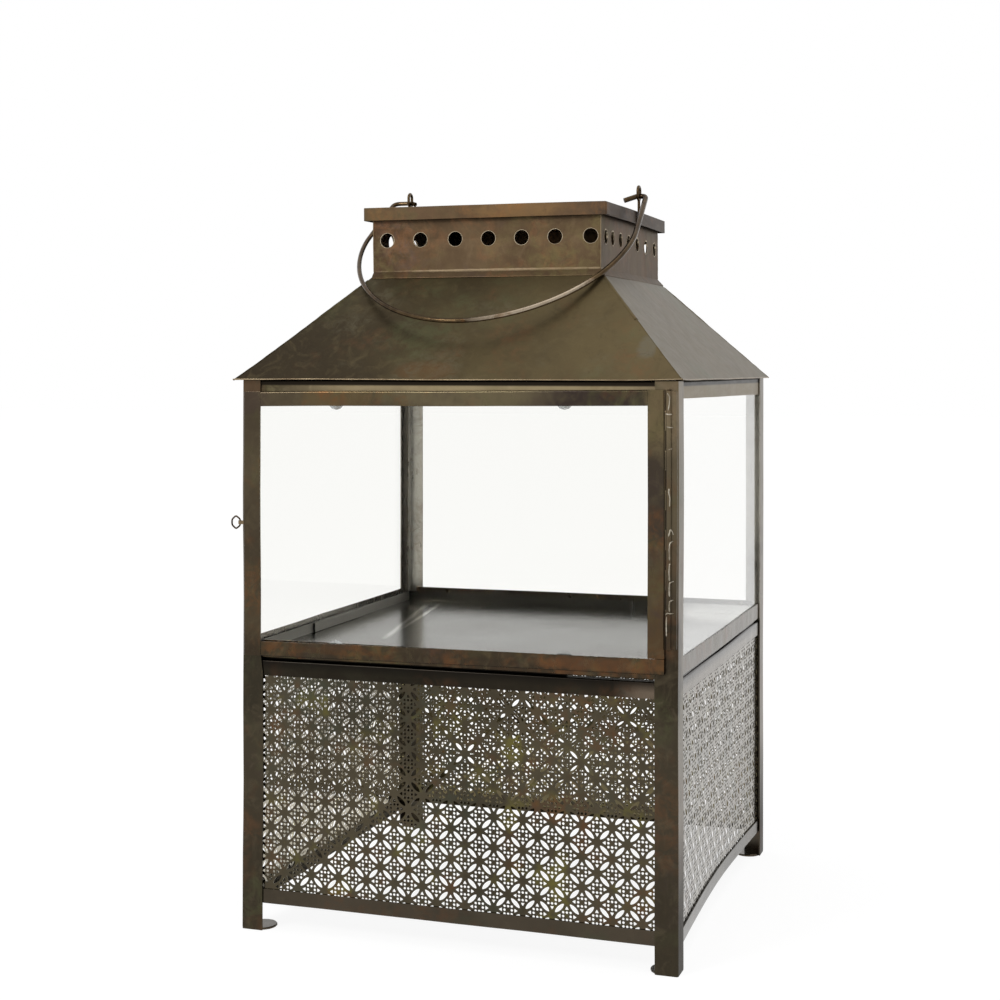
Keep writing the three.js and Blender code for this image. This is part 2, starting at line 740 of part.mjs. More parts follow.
piece('door_latch_stile', latchStile(), 'bronze', door);
piece('door_hinge_stile', hingeStile(), 'bronze', door);
piece('door_bottom_rail', doorRail(doorBottom, doorRailWidth, doorRight), 'bronze', door);
piece('door_top_rail', doorRail(doorTop, -doorRailWidth, openingRight - seatGap), 'bronze', door);
piece('door_pane', doorPane(), 'glass', door);
for (const [row, edge, inward] of [['top', openingTop, -1], ['bottom', openingBottom, 1]]) {
  for (const [name, side] of [['left', -1], ['right', 1]]) {
    const clip = doorClip(openingMiddle + side * clipSpread, edge, inward);
    piece(`door_clip_${row}_${name}`, clip, 'solder', door);
  }
}
piece('hinge_post_leaf', postLeaf(), 'solder', body);
piece('hinge_door_leaf', doorLeaf(), 'solder', door);
piece('hinge_pin', hingePin(), 'wire', body);
piece('latch_knuckle', latchKnuckle(), 'solder', door);
piece('latch_loop', latchLoop(), 'wire', door);
piece('latch_stud', latchStud(), 'wire', body);

export default lantern;
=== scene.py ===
import json
import random
from math import copysign, cos, pi, radians, sin

import bpy
from mathutils import Matrix, Vector


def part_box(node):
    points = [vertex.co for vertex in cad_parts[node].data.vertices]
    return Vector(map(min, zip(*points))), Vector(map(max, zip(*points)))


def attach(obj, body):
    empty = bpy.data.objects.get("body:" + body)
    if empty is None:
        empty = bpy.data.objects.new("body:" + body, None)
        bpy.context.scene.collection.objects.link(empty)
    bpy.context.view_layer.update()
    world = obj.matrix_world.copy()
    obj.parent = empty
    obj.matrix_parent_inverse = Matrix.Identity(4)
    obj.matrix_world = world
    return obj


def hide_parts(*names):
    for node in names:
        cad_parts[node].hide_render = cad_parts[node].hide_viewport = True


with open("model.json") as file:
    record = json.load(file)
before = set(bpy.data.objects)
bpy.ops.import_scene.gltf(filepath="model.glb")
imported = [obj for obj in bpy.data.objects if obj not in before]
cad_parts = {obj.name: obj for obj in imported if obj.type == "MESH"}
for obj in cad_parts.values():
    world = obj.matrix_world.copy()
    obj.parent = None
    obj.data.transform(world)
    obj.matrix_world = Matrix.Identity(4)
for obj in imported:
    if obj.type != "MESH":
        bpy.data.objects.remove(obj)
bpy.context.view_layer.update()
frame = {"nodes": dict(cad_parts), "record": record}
nodes = frame["nodes"]
bodyOf = {node: body for body, members in frame["record"]["behaviour"]["bodies"].items() for node in members}
slotOf = {part["node"]: part["material_slot"] for part in frame["record"]["subparts"]}
corners = ("front_left", "front_right", "rear_right", "rear_left")
sides = ("front", "right", "rear", "left")
cornerSides = ((-1, -1), (1, -1), (1, 1), (-1, 1))
print("frame loaded:", len(nodes), "nodes")

# Camera, floor and light
cameraView = {
    "place": (0.63585, -1.97873, 0.61640),
    "turn": 18.538,
    "lens": 63.12,
    "sensor": 36,
    "shiftUp": -0.1332,
}
studio = {
    "floorSize": 40,
    "floorGlow": 0.9,
    "floorShade": 0.16,
    "floorBounce": 0.8,
    "skyForEyes": 1.0,
    "skyForShade": 0.65,
    "lamps": (
        # name, place, size, watts
        ("keySoftbox", (-1.27, -2.36, 2.0), 0.9, 30),
        ("topSoftbox", (0.7, -0.3, 3.2), 2.4, 14),
    ),
    "aim": (0, 0, 0.6),
}


def addCamera(view):
    data = bpy.data.cameras.new("camera")
    data.sensor_width = view["sensor"]
    data.lens = view["lens"]
    data.shift_y = view["shiftUp"]
    camera = bpy.data.objects.new("camera", data)
    camera.location = view["place"]
    camera.rotation_euler = (radians(90), 0, radians(view["turn"]))
    bpy.context.scene.collection.objects.link(camera)
    bpy.context.scene.camera = camera


def addNode(tree, kind, inputs=None, **settings):
    node = tree.nodes.new("ShaderNode" + kind)
    for key, value in settings.items():
        setattr(node, key, value)
    for key, value in (inputs or {}).items():
        if isinstance(value, bpy.types.NodeSocket):
            tree.links.new(value, node.inputs[key])
        else:
            node.inputs[key].default_value = value
    return node


def calculated(tree, operation, first, second=0):
    return addNode(tree, "Math", {0: first, 1: second}, operation=operation).outputs[0]


def vectorMath(tree, operation, first, second=(0, 0, 0), output="Vector"):
    return addNode(tree, "VectorMath", {0: first, 1: second}, operation=operation).outputs[output]


def seenDirectly(tree):
    rays = addNode(tree, "LightPath").outputs
    seen = calculated(tree, "MAXIMUM", rays["Is Camera Ray"], rays["Is Glossy Ray"])
    return calculated(tree, "MAXIMUM", seen, rays["Is Transmission Ray"])


def blankMaterial(name):
    material = bpy.data.materials.new(name)
    material.use_nodes = True
    material.node_tree.nodes.clear()
    return material, material.node_tree


def surfaced(tree, shader):
    addNode(tree, "OutputMaterial", {"Surface": shader.outputs[0]})


def grey(value):
    return (value, value, value, 1)


def floorMaterial(settings):
    material, tree = blankMaterial("paleFloor")
    shade = addNode(tree, "BsdfDiffuse", {"Color": grey(settings["floorShade"])})
    glow = addNode(tree, "Emission", {"Color": grey(1), "Strength": settings["floorGlow"]})
    bounce = addNode(tree, "BsdfDiffuse", {"Color": grey(settings["floorBounce"])})
    both = addNode(tree, "AddShader", {0: shade.outputs[0], 1: glow.outputs[0]})
    inputs = {0: seenDirectly(tree), 1: bounce.outputs[0], 2: both.outputs[0]}
    surfaced(tree, addNode(tree, "MixShader", inputs))
    return material


def whiteWorld(settings):
    world = bpy.data.worlds.new("whiteStudio")
    world.use_nodes = True
    tree = world.node_tree
    tree.nodes.clear()
    plain, bright = (
        addNode(tree, "Background", {"Color": grey(1), "Strength": settings[key]}).outputs[0]
        for key in ("skyForShade", "skyForEyes")
    )
    mix = addNode(tree, "MixShader", {0: seenDirectly(tree), 1: plain, 2: bright})
    addNode(tree, "OutputWorld", {"Surface": mix.outputs[0]})
    return world


def buildStudio(settings):
    scene = bpy.context.scene
    scene.view_settings.view_transform = "Standard"
    scene.world = whiteWorld(settings)
    bpy.ops.mesh.primitive_plane_add(size=settings["floorSize"], location=(0, 0, 0))
    floor = bpy.context.object
    floor.name = "floor"
    floor.data.materials.append(floorMaterial(settings))
    for name, place, size, watts in settings["lamps"]:
        lamp = bpy.data.lights.new(name, "AREA")
        lamp.size = size
        lamp.energy = watts
        obj = bpy.data.objects.new(name, lamp)
        obj.location = place
        obj.rotation_euler = (Vector(settings["aim"]) - Vector(place)).to_track_quat("-Z", "Y").to_euler()
        scene.collection.objects.link(obj)


addCamera(cameraView)
buildStudio(studio)
print("camera, floor and light set")

# Fades on axes 3 to 8 are painted light and shade: a face is made lighter or darker by the way it looks.
# Finishes. Colours are written as they look on a screen, from 0 to 255. Places and radii are in metres.
# tints: colour, patch scale, threshold, fine scale, strength
# fades: axis, from, to, colour, strength. Axes 0 to 2 are the place, 3 to 5 the direction the face looks in,
# 6 is below zero on faces that look inwards, 7 is high on the inner face of the left side,
# 8 is high low down on faces that look to the right.
# last: one more fade, over everything else
# patches of stain and of painted light: centre, radii, colour, strength. Most are real stain; the painted
# highlights are noted where they stand
# edge: how strongly the metal shines at a glancing angle, 1 unless given
# lowEdge: the same where axis 8 is high
patinas = {
    "roofPatina": {
        "base": (83, 72, 47), "dark": (66, 56, 37), "light": (98, 86, 59), "broad": 6, "mottle": 0.4,
        "tints": (
            ((108, 72, 46), 15, 0.60, 75, 0.3), ((82, 84, 56), 8, 0.55, 42, 0.5),
            ((98, 92, 72), 12, 0.60, 95, 0.4),
        ),
        # Painted shade and light: the roof darkens towards the left and grows lighter towards the right.
        "fades": ((0, 0.06, -0.24, (36, 26, 11), 0.88), (0, 0.0, 0.22, (94, 81, 55), 0.7)),
        "stainsAndPaintedLight": (
            ((0.205, -0.215, 0.637), (0.01, 0.03, 0.012), (104, 104, 96), 0.35),
            ((-0.03, -0.24, 0.612), (0.03, 0.02, 0.012), (104, 72, 44), 0.4),
        ),
        "streaks": ((30, 30, 9), 0.16), "roughness": (0.38, 0.45), "metallic": 0.86,
    },
    "chimneyPatina": {
        "base": (96, 79, 58), "dark": (78, 62, 45), "light": (113, 95, 71), "broad": 8, "mottle": 0.35,
        "tints": (
            ((124, 86, 58), 17, 0.55, 60, 0.45), ((106, 97, 62), 10, 0.57, 50, 0.45),
            ((90, 74, 66), 13, 0.59, 70, 0.5),
        ),
        "fades": (
            # Painted shade: darker towards the left, and a painted shadow under the cap at the top.
            (0, -0.03, -0.14, (60, 43, 28), 0.85), (2, 0.770, 0.784, (58, 46, 33), 0.75),
            (2, 0.732, 0.722, (92, 76, 54), 0.2),
        ),
        # A painted highlight along the crease at the top of the skirt.
        "stainsAndPaintedLight": (((0.02, -0.134, 0.7243), (0.125, 0.02, 0.0014), (160, 141, 113), 0.7),),
        "streaks": ((34, 34, 7), 0.2), "roughness": (0.36, 0.44), "metallic": 0.88, "edge": 0.66,
    },
    "capPatina": {
        "base": (85, 67, 49), "dark": (69, 54, 40), "light": (103, 80, 57), "broad": 9, "mottle": 0.4,
        "tints": (
            ((122, 86, 52), 20, 0.56, 60, 0.5), ((84, 74, 50), 12, 0.57, 50, 0.5),
            ((76, 58, 48), 17, 0.60, 80, 0.5),
        ),
        "fades": (
            (0, -0.07, -0.14, (74, 61, 44), 0.7), (2, 0.7925, 0.7965, (66, 54, 41), 0.5),
            (0, 0.115, 0.135, (62, 53, 45), 0.7),
        ),
        "stainsAndPaintedLight": (((0.04, -0.14, 0.79), (0.05, 0.01, 0.012), (116, 90, 58), 0.6),),
        "streaks": ((9, 9, 60), 0.2), "roughness": (0.34, 0.42), "metallic": 0.88, "edge": 0.7,
    },
    "doorPatina": {
        "base": (82, 72, 55), "dark": (66, 57, 44), "light": (98, 88, 66), "broad": 7, "mottle": 0.4,
        "tints": (
            ((110, 72, 42), 16, 0.57, 60, 0.5), ((84, 82, 52), 11, 0.55, 45, 0.5),
            ((66, 54, 50), 13, 0.58, 60, 0.5),
        ),
        "fades": (
            (2, 0.42, 0.35, (64, 53, 38), 0.6), (2, 0.335, 0.31, (53, 44, 33), 0.9),
            # Painted light: faces that look to the right take a glancing sheen, and inner faces on the left
            # side are painted pale as lit.
            (3, 0.8, 0.97, (112, 105, 94), 0.6), (7, 1.2, 1.6, (178, 173, 162), 0.9),
        ),
        "stainsAndPaintedLight": (
            ((0.162, -0.249, 0.586), (0.09, 0.02, 0.016), (52, 43, 39), 0.9),
            ((0.02, -0.249, 0.586), (0.09, 0.02, 0.014), (106, 96, 72), 0.65),
            ((-0.13, -0.249, 0.582), (0.04, 0.02, 0.014), (98, 82, 54), 0.6),
            ((0.2235, -0.249, 0.565), (0.012, 0.02, 0.045), (108, 94, 67), 0.8),
            ((0.222, -0.249, 0.477), (0.02, 0.02, 0.06), (58, 50, 42), 0.85),
            ((0.226, -0.249, 0.36), (0.02, 0.02, 0.05), (84, 62, 38), 0.5),
            ((-0.13, -0.249, 0.311), (0.06, 0.02, 0.004), (86, 58, 36), 0.35),
            ((0.16, -0.249, 0.312), (0.07, 0.02, 0.006), (98, 66, 42), 0.55),
            ((-0.232, -0.249, 0.585), (0.02, 0.02, 0.02), (70, 58, 50), 0.6),
        ),
        "streaks": ((30, 30, 8), 0.2), "roughness": (0.2, 0.3), "metallic": 0.9,
    },
    "postPatina": {
        "base": (81, 71, 55), "dark": (66, 57, 43), "light": (94, 84, 66), "broad": 7, "mottle": 0.4,
        "tints": (
            ((98, 68, 46), 15, 0.58, 60, 0.45), ((78, 80, 54), 10, 0.56, 50, 0.45),
            ((66, 56, 50), 14, 0.59, 60, 0.5),
        ),
        # Painted light: faces that look inwards are painted pale, faces that look to the right take a
        # glancing sheen, and axis 8 darkens that sheen low down as painted shade.
        "fades": (
            (2, 0.42, 0.29, (58, 51, 39), 0.85), (6, 0.0, -0.1, (184, 180, 170), 0.85),
            (2, 0.302, 0.296, (62, 55, 43), 0.85),
            (3, 0.8, 0.97, (126, 117, 102), 0.75), (2, 0.15, 0.08, (48, 42, 32), 0.5),
            (8, 0.7, 0.88, (62, 57, 49), 0.85),
        ),
        "stainsAndPaintedLight": (
            ((0.235, -0.244, 0.50), (0.02, 0.02, 0.09), (98, 88, 69), 0.5),
            ((0.233, -0.244, 0.58), (0.02, 0.02, 0.045), (122, 107, 84), 0.75),
            ((-0.236, -0.244, 0.58), (0.02, 0.02, 0.03), (92, 66, 46), 0.45),
            ((0.235, -0.244, 0.312), (0.02, 0.02, 0.055), (46, 39, 29), 0.8),
            ((-0.235, -0.244, 0.275), (0.02, 0.02, 0.04), (46, 42, 32), 0.7),
        ),
        "streaks": ((34, 34, 7), 0.25), "roughness": (0.26, 0.34), "metallic": 0.9,
        "edge": 0.93, "lowEdge": 0.5,
    },
    "lowerPatina": {
        "base": (72, 64, 53), "dark": (60, 54, 44), "light": (82, 74, 60), "broad": 7, "mottle": 0.35,
        "tints": (((90, 62, 42), 14, 0.59, 60, 0.4), ((66, 70, 54), 10, 0.57, 50, 0.45)),
        "streaks": ((8, 8, 50), 0.2), "roughness": (0.16, 0.24), "metallic": 0.92,
    },
    "waistPatina": {
        "base": (40, 35, 27), "dark": (31, 27, 20), "light": (49, 43, 33), "broad": 7, "mottle": 0.35,
        "tints": (((76, 52, 36), 14, 0.57, 60, 0.45), ((54, 56, 42), 10, 0.57, 50, 0.4)),
        # The second fade is painted light: a glancing sheen on faces that look to the right.
        "fades": ((0, 0.175, 0.2, (106, 93, 79), 0.9), (3, 0.8, 0.97, (122, 115, 104), 0.85)),
        # Painted shade along the top of the waist rail, under the door's bottom rail.
        "last": (2, 0.285, 0.294, (22, 19, 15), 0.85),
        "streaks": ((8, 8, 50), 0.2), "roughness": (0.16, 0.24), "metallic": 0.92,
    },
    "headPatinaWithPaintedLight": {
        # The pale base stands for light falling on the head rail's strip below the eave: painted light.
        "base": (146, 131, 101), "dark": (126, 112, 86), "light": (160, 145, 114), "broad": 9, "mottle": 0.25,
        "tints": (((112, 90, 62), 14, 0.57, 60, 0.4), ((120, 112, 76), 11, 0.56, 50, 0.4)),
        "fades": (
            (0, -0.11, -0.215, (50, 43, 32), 0.95), (0, 0.17, 0.222, (128, 115, 92), 0.8),
        ),
        # Painted shadow of the eave along the top of the head rail.
        "last": (2, 0.5956, 0.5972, (26, 20, 13), 0.97),
        "streaks": ((8, 8, 50), 0.2), "roughness": (0.28, 0.36), "metallic": 0.88, "edge": 0.8,
    },
    "panelPatina": {
        "base": (75, 68, 54), "dark": (62, 56, 44), "light": (88, 80, 63), "broad": 8, "mottle": 0.3,
        "tints": (
            ((112, 106, 44), 30, 0.60, 12, 0.6), ((98, 62, 36), 27, 0.61, 14, 0.5),
            ((62, 68, 58), 9, 0.55, 40, 0.5),
        ),
        # Painted light: faces that look to the right take a glancing sheen, and faces that look inwards and
        # the inner face of the left side are painted pale.
        "fades": (
            (3, 0.7, 0.95, (136, 129, 117), 0.85), (6, 0.0, -0.1, (116, 106, 78), 0.85),
            (7, 1.2, 1.6, (196, 189, 172), 0.9),
        ),
        "streaks": ((9, 9, 50), 0.1), "roughness": (0.1, 0.16), "metallic": 0.94,
    },
    "wirePatina": {
        "base": (78, 63, 43), "dark": (56, 44, 30), "light": (104, 88, 64), "broad": 30, "mottle": 0.5,
        "tints": (((118, 82, 50), 60, 0.60, 150, 0.4),),
        # A painted highlight on the lower right of the bail.
        "stainsAndPaintedLight": (((0.073, -0.18, 0.69), (0.055, 0.08, 0.07), (168, 154, 135), 0.87),),
        "streaks": ((120, 30, 30), 0.2), "roughness": (0.18, 0.26), "metallic": 0.95,
    },
    # Pale edges: part wear, part a painted highlight along edges that catch the light.
    "edgeWearAndPaintedHighlight": {
        "base": (140, 124, 98), "dark": (104, 88, 66), "light": (164, 148, 122), "broad": 20, "mottle": 0.5,
        "tints": (((120, 92, 64), 26, 0.60, 90, 0.5),),
        "streaks": ((20, 20, 20), 0.2), "roughness": (0.3, 0.4), "metallic": 0.85,
    },
    "solderPatina": {
        "base": (172, 164, 148), "dark": (128, 118, 100), "light": (200, 193, 180),
        "broad": 60, "mottle": 0.6,
        "tints": (((112, 88, 62), 80, 0.58, 160, 0.5),),
        "streaks": ((20, 20, 20), 0.1), "roughness": (0.26, 0.42), "metallic": 0.9,
    },
    "clipPatina": {
        "base": (184, 187, 188), "dark": (150, 150, 147), "light": (206, 210, 213),
        "broad": 40, "mottle": 0.4,
        "tints": (((120, 112, 98), 60, 0.60, 120, 0.5),),
        "streaks": ((20, 20, 20), 0.1), "roughness": (0.16, 0.28), "metallic": 0.95,
    },
    # The rims' pale colour is a painted highlight.
    "rimPatinaAndPaintedHighlight": {
        "base": (190, 175, 150), "dark": (150, 133, 108), "light": (212, 200, 178),
        "broad": 30, "mottle": 0.5,
        "tints": (((150, 120, 88), 30, 0.60, 90, 0.5),),
        "streaks": ((20, 20, 20), 0.2), "roughness": (0.25, 0.35), "metallic": 0.9,
    },
}
zincLook = {
    "base": (72, 69, 60), "dark": (60, 58, 50), "light": (84, 81, 72), "roughness": (0.18, 0.24),
    "upright": (60, 59, 53), "uprightBand": (0.3015, 0.3035), "uprightStrength": 0.8,
    # The pale left upright is painted light on the inner face of the tray's left wall.
    "leftUpright": (176, 173, 164), "leftBand": (0.6, 0.9), "leftStrength": 0.9, "leftRoughness": 0.6,
    "cloudBand": (0.38, 0.62), "fineBand": (0.5, 0.75), "fineStrength": 0.4, "roughBand": (0.3, 0.7),
    "rubbed": (214, 214, 208), "scratchStrength": 0.7, "scratchEnd": 0.75,
    "stainsAndPaintedLight": (
        ((0.2, 0.25, 0.3), (0.07, 0.09, 0.03), (228, 228, 225), 0.9),
        ((0.215, -0.03, 0.3), (0.03, 0.12, 0.02), (48, 46, 40), 0.6),
    ),
    "scratches": (
        # start, end and half width of each rubbed line on the tray
        ((-0.205, 0.236, 0.301), (-0.136, -0.1, 0.301), 0.006),
        ((-0.186, 0.236, 0.301), (-0.1456, -0.0252, 0.301), 0.0045),
    ),
}
glassLook = {"tint": (252, 252, 250.5), "ior": 1.08, "rightIor": 1.45}
patinaNoise = {
    "mottle": 48, "ragged": 1.6, "softness": 0.06, "streaks": 3, "specks": 210, "speckStrength": 0.35,
    "dents": (30, 0.16, 0.002), "grain": (420, 0.1, 0.0003),  # scale, strength, depth
}
patinaBands = {
    # from and to: where each kind of noise begins and is full
    "broad": (0.36, 0.56), "fine": (0.42, 0.6), "mottleLight": (0.52, 0.72), "mottleDark": (0.46, 0.3),
    "streakLight": (0.55, 0.75), "streakDark": (0.45, 0.25), "specks": (0.62, 0.74),
    "roughness": (0.3, 0.7), "lowEdge": (0.68, 0.9),
}
ellipsoidBorder = (1.25, 0.75)
leaningAxes = ((0, 4), (2, 2))  # for axes 7 and 8: place axis and factor, taken from the facing to the right


def linear(colour):
    def one(value):
        share = value / 255
        return share / 12.92 if share <= 0.04045 else ((share + 0.055) / 1.055) ** 2.4
    return (*[one(value) for value in colour], 1)


def noiseField(tree, place, scale, number, detail=5, roughness=0.62, twist=0.0, stretch=(1, 1, 1)):
    drift = (3.7 * number, 1.9 * number, 2.3 * number)
    moved = addNode(tree, "Mapping", {"Vector": place, "Location": drift, "Scale": stretch})
    inputs = {
        "Vector": moved.outputs[0], "Scale": scale,
        "Detail": detail, "Roughness": roughness, "Distortion": twist,
    }
    return addNode(tree, "TexNoise", inputs).outputs[0]


def faded(tree, value, low, high, bottom=0.0, top=1.0):
    inputs = {"Value": value, "From Min": low, "From Max": high, "To Min": bottom, "To Max": top}
    return addNode(tree, "MapRange", inputs, clamp=True).outputs[0]


def mixed(tree, share, first, second):
    return addNode(tree, "Mix", {0: share, 6: first, 7: second}, data_type="RGBA").outputs[2]


# Lays a tint over a colour as a value goes through a band
def overlaid(tree, colour, tint, value, band, strength):
    return mixed(tree, faded(tree, value, *band, 0, strength), colour, tint)


# The given strength inside an ellipsoid, 0 outside, with a border made ragged by noise
def raggedEllipsoidShare(tree, place, ragged, centre, radii, strength):
    scale = [1 / radius for radius in radii]
    shift = [-value * factor for value, factor in zip(centre, scale)]
    moved = addNode(tree, "Mapping", {"Vector": place, "Location": shift, "Scale": scale})
    far = vectorMath(tree, "LENGTH", moved.outputs[0], output="Value")
    return faded(tree, calculated(tree, "ADD", far, ragged), *ellipsoidBorder, 0, strength)


def patinaMaterial(name, look, number):
    material, tree = blankMaterial(name)
    coordinates = addNode(tree, "TexCoord").outputs
    place, facing = coordinates["Object"], coordinates["Normal"]
    dark, base, light = (linear(look[key]) for key in ("dark", "base", "light"))
    broad = noiseField(tree, place, look["broad"], number)
    mottle = noiseField(tree, place, patinaNoise["mottle"], number + 1, 6, 0.7, 0.9)
    colour = overlaid(tree, dark, base, broad, patinaBands["broad"], 1)
    ragged = calculated(tree, "MULTIPLY", calculated(tree, "SUBTRACT", mottle, 0.5), patinaNoise["ragged"])
    axes = [
        *addNode(tree, "SeparateXYZ", {0: place}).outputs, *addNode(tree, "SeparateXYZ", {0: facing}).outputs,
        vectorMath(tree, "DOT_PRODUCT", place, facing, "Value"),
    ]
    for across, factor in leaningAxes:
        axes.append(calculated(tree, "SUBTRACT", axes[3], calculated(tree, "MULTIPLY", axes[across], factor)))
    for axis, start, end, tint, strength in look.get("fades", ()):
        colour = overlaid(tree, colour, linear(tint), axes[axis], (start, end), strength)
    for centre, radii, tint, strength in look.get("stainsAndPaintedLight", ()):
        colour = mixed(tree, raggedEllipsoidShare(tree, place, ragged, centre, radii, strength), colour, linear(tint))
    for index, (tint, scale, threshold, fineScale, strength) in enumerate(look["tints"]):
        patch = noiseField(tree, place, scale, number + 2 + index, 3)
        fine = noiseField(tree, place, fineScale, number + 5 + index, 6, 0.72, 0.6)
        share = faded(tree, patch, threshold - patinaNoise["softness"], threshold + patinaNoise["softness"])
        share = calculated(tree, "MULTIPLY", share, faded(tree, fine, *patinaBands["fine"], 0, strength))
        colour = mixed(tree, share, colour, linear(tint))
    stretch, streakStrength = look["streaks"]
    streaks = noiseField(tree, place, patinaNoise["streaks"], number + 9, 5, 0.7, 0.2, stretch)
    for value, kind, strength in ((mottle, "mottle", look["mottle"]), (streaks, "streak", streakStrength)):
        colour = overlaid(tree, colour, light, value, patinaBands[kind + "Light"], strength)
        colour = overlaid(tree, colour, dark, value, patinaBands[kind + "Dark"], strength)
    specks = noiseField(tree, place, patinaNoise["specks"], number + 10, 3, 0.7)
    colour = overlaid(tree, colour, dark, specks, patinaBands["specks"], patinaNoise["speckStrength"])
    if "last" in look:
        axis, start, end, tint, strength = look["last"]
        colour = overlaid(tree, colour, linear(tint), axes[axis], (start, end), strength)
    normal = {}
    for offset, detail, kind in ((12, 2, "dents"), (11, 3, "grain")):
        scale, strength, distance = patinaNoise[kind]
        height = noiseField(tree, place, scale, number + offset, detail)
        bump = {"Height": height, "Strength": strength, "Distance": distance, **normal}
        normal = {"Normal": addNode(tree, "Bump", bump).outputs[0]}
    edge = look.get("edge", 1.0)
    inputs = {
        "Base Color": colour, "Metallic": look["metallic"],
        "Roughness": faded(tree, streaks, *patinaBands["roughness"], *look["roughness"]),
        "Specular Tint": faded(tree, axes[8], *patinaBands["lowEdge"], edge, look["lowEdge"])
        if "lowEdge" in look else grey(edge), **normal,
    }
    surfaced(tree, addNode(tree, "BsdfPrincipled", inputs))
    return material


# The given strength along a straight line, 0 beside it and past its ends
def lineShare(tree, place, start, end, halfWidth, look):
    start, end = Vector(start), Vector(end)
    along = (end - start).normalized()
    offset = vectorMath(tree, "SUBTRACT", place, (start + end) / 2)
    far = vectorMath(tree, "LENGTH", vectorMath(tree, "CROSS_PRODUCT", offset, along), output="Value")
    reach = calculated(tree, "ABSOLUTE", vectorMath(tree, "DOT_PRODUCT", offset, along, "Value"))
    half = (end - start).length / 2
    across = faded(tree, far, halfWidth, 0, 0, look["scratchStrength"])
    return calculated(tree, "MULTIPLY", across, faded(tree, reach, half, half * look["scratchEnd"]))


def zincMaterial(look):
    material, tree = blankMaterial("zincSheet")
    coordinates = addNode(tree, "TexCoord").outputs
    place = coordinates["Object"]
    clouds = noiseField(tree, place, 9, 1)
    fine = noiseField(tree, place, 55, 2, 6, 0.7, 0.8)
    height = addNode(tree, "SeparateXYZ", {0: place}).outputs[2]
    facing = addNode(tree, "SeparateXYZ", {0: coordinates["Normal"]}).outputs[0]
    dark, base, light, upright, left, rubbed = (
        linear(look[key]) for key in ("dark", "base", "light", "upright", "leftUpright", "rubbed")
    )
    colour = overlaid(tree, dark, base, clouds, look["cloudBand"], 1)
    colour = overlaid(tree, colour, light, fine, look["fineBand"], look["fineStrength"])
    colour = overlaid(tree, colour, upright, height, look["uprightBand"], look["uprightStrength"])
    colour = overlaid(tree, colour, left, facing, look["leftBand"], look["leftStrength"])
    rough = faded(tree, clouds, *look["roughBand"], *look["roughness"])
    leftRough = faded(tree, facing, *look["leftBand"], 0, look["leftRoughness"])
    rough = calculated(tree, "MAXIMUM", rough, leftRough)
    for centre, radii, tint, strength in look["stainsAndPaintedLight"]:
        colour = mixed(tree, raggedEllipsoidShare(tree, place, 0, centre, radii, strength), colour, linear(tint))
    for start, end, halfWidth in look["scratches"]:
        colour = mixed(tree, lineShare(tree, place, start, end, halfWidth, look), colour, rubbed)
    normal = addNode(tree, "Bump", {"Height": clouds, "Strength": 0.02, "Distance": 0.002}).outputs[0]
    inputs = {"Base Color": colour, "Metallic": 1.0, "Roughness": rough, "Normal": normal}
    surfaced(tree, addNode(tree, "BsdfPrincipled", inputs))
    return material


def glassMaterial(name, tint, ior):
    material, tree = blankMaterial(name)
    inputs = {"Base Color": linear(tint), "Roughness": 0.0, "IOR": ior, "Transmission Weight": 1.0}
    surfaced(tree, addNode(tree, "BsdfPrincipled", inputs))
    return material


finishes = {
    finish: patinaMaterial(finish, look, 13 * order) for order, (finish, look) in enumerate(patinas.items())
}
finishes["zincSheet"] = zincMaterial(zincLook)
finishes["clearGlass"] = glassMaterial("clearGlass", glassLook["tint"], glassLook["ior"])
finishes["rightGlass"] = glassMaterial("rightGlass", glassLook["tint"], glassLook["rightIor"])
print("finishes made:", len(finishes))

# Small tools for modelling
handWarp = {"name": "handWarp", "size": 0.22, "strength": 0.0022, "middle": 0.5}
warpTexture = bpy.data.textures.new(handWarp["name"], "CLOUDS")
warpTexture.noise_scale = handWarp["size"]
warpTexture.cloud_type = "COLOR"


def only(*objects):
    bpy.ops.object.select_all(action="DESELECT")
    for obj in objects:
        obj.select_set(True)
    bpy.context.view_layer.objects.active = objects[0]


# Adds a primitive with nothing else selected, and puts its place, turn and size into its mesh
def primitive(kind, **settings):
    bpy.ops.object.select_all(action="DESELECT")
    getattr(bpy.ops.mesh, f"primitive_{kind}_add")(**settings)
    bpy.ops.object.transform_apply(location=True, rotation=True, scale=True)
    return bpy.context.object


def edited(obj, *steps):
    only(obj)
    bpy.ops.object.mode_set(mode="EDIT")
    bpy.ops.mesh.select_all(action="SELECT")
    for step in steps:
        step()
    bpy.ops.object.mode_set(mode="OBJECT")


def modified(obj, kind, **settings):
    only(obj)
    modifier = obj.modifiers.new(kind.lower(), kind)
    for key, value in settings.items():
        setattr(modifier, key, value)
    bpy.ops.object.modifier_apply(modifier=modifier.name)


def bevelled(obj, width, segments=2, fromAngle=50):
    modified(
        obj, "BEVEL", width=width, segments=segments,
        limit_method="ANGLE", angle_limit=radians(fromAngle),
    )


def span(obj):
    points = [vertex.co for vertex in obj.data.vertices]
    low = Vector([min(point[axis] for point in points) for axis in range(3)])
    high = Vector([max(point[axis] for point in points) for axis in range(3)])
    return low, high


def linked(name, data):
    obj = bpy.data.objects.new(name, data)
    bpy.context.scene.collection.objects.link(obj)
    return obj


def pieceName(node):
    first, *rest = node.split("_")
    return first + "".join(word.capitalize() for word in rest) + "Skin"


def joined(name, *objects):
    only(*objects)
    bpy.ops.object.join()
    objects[0].name = name
    return objects[0]


def normalsOut():
    bpy.ops.mesh.normals_make_consistent(inside=False)


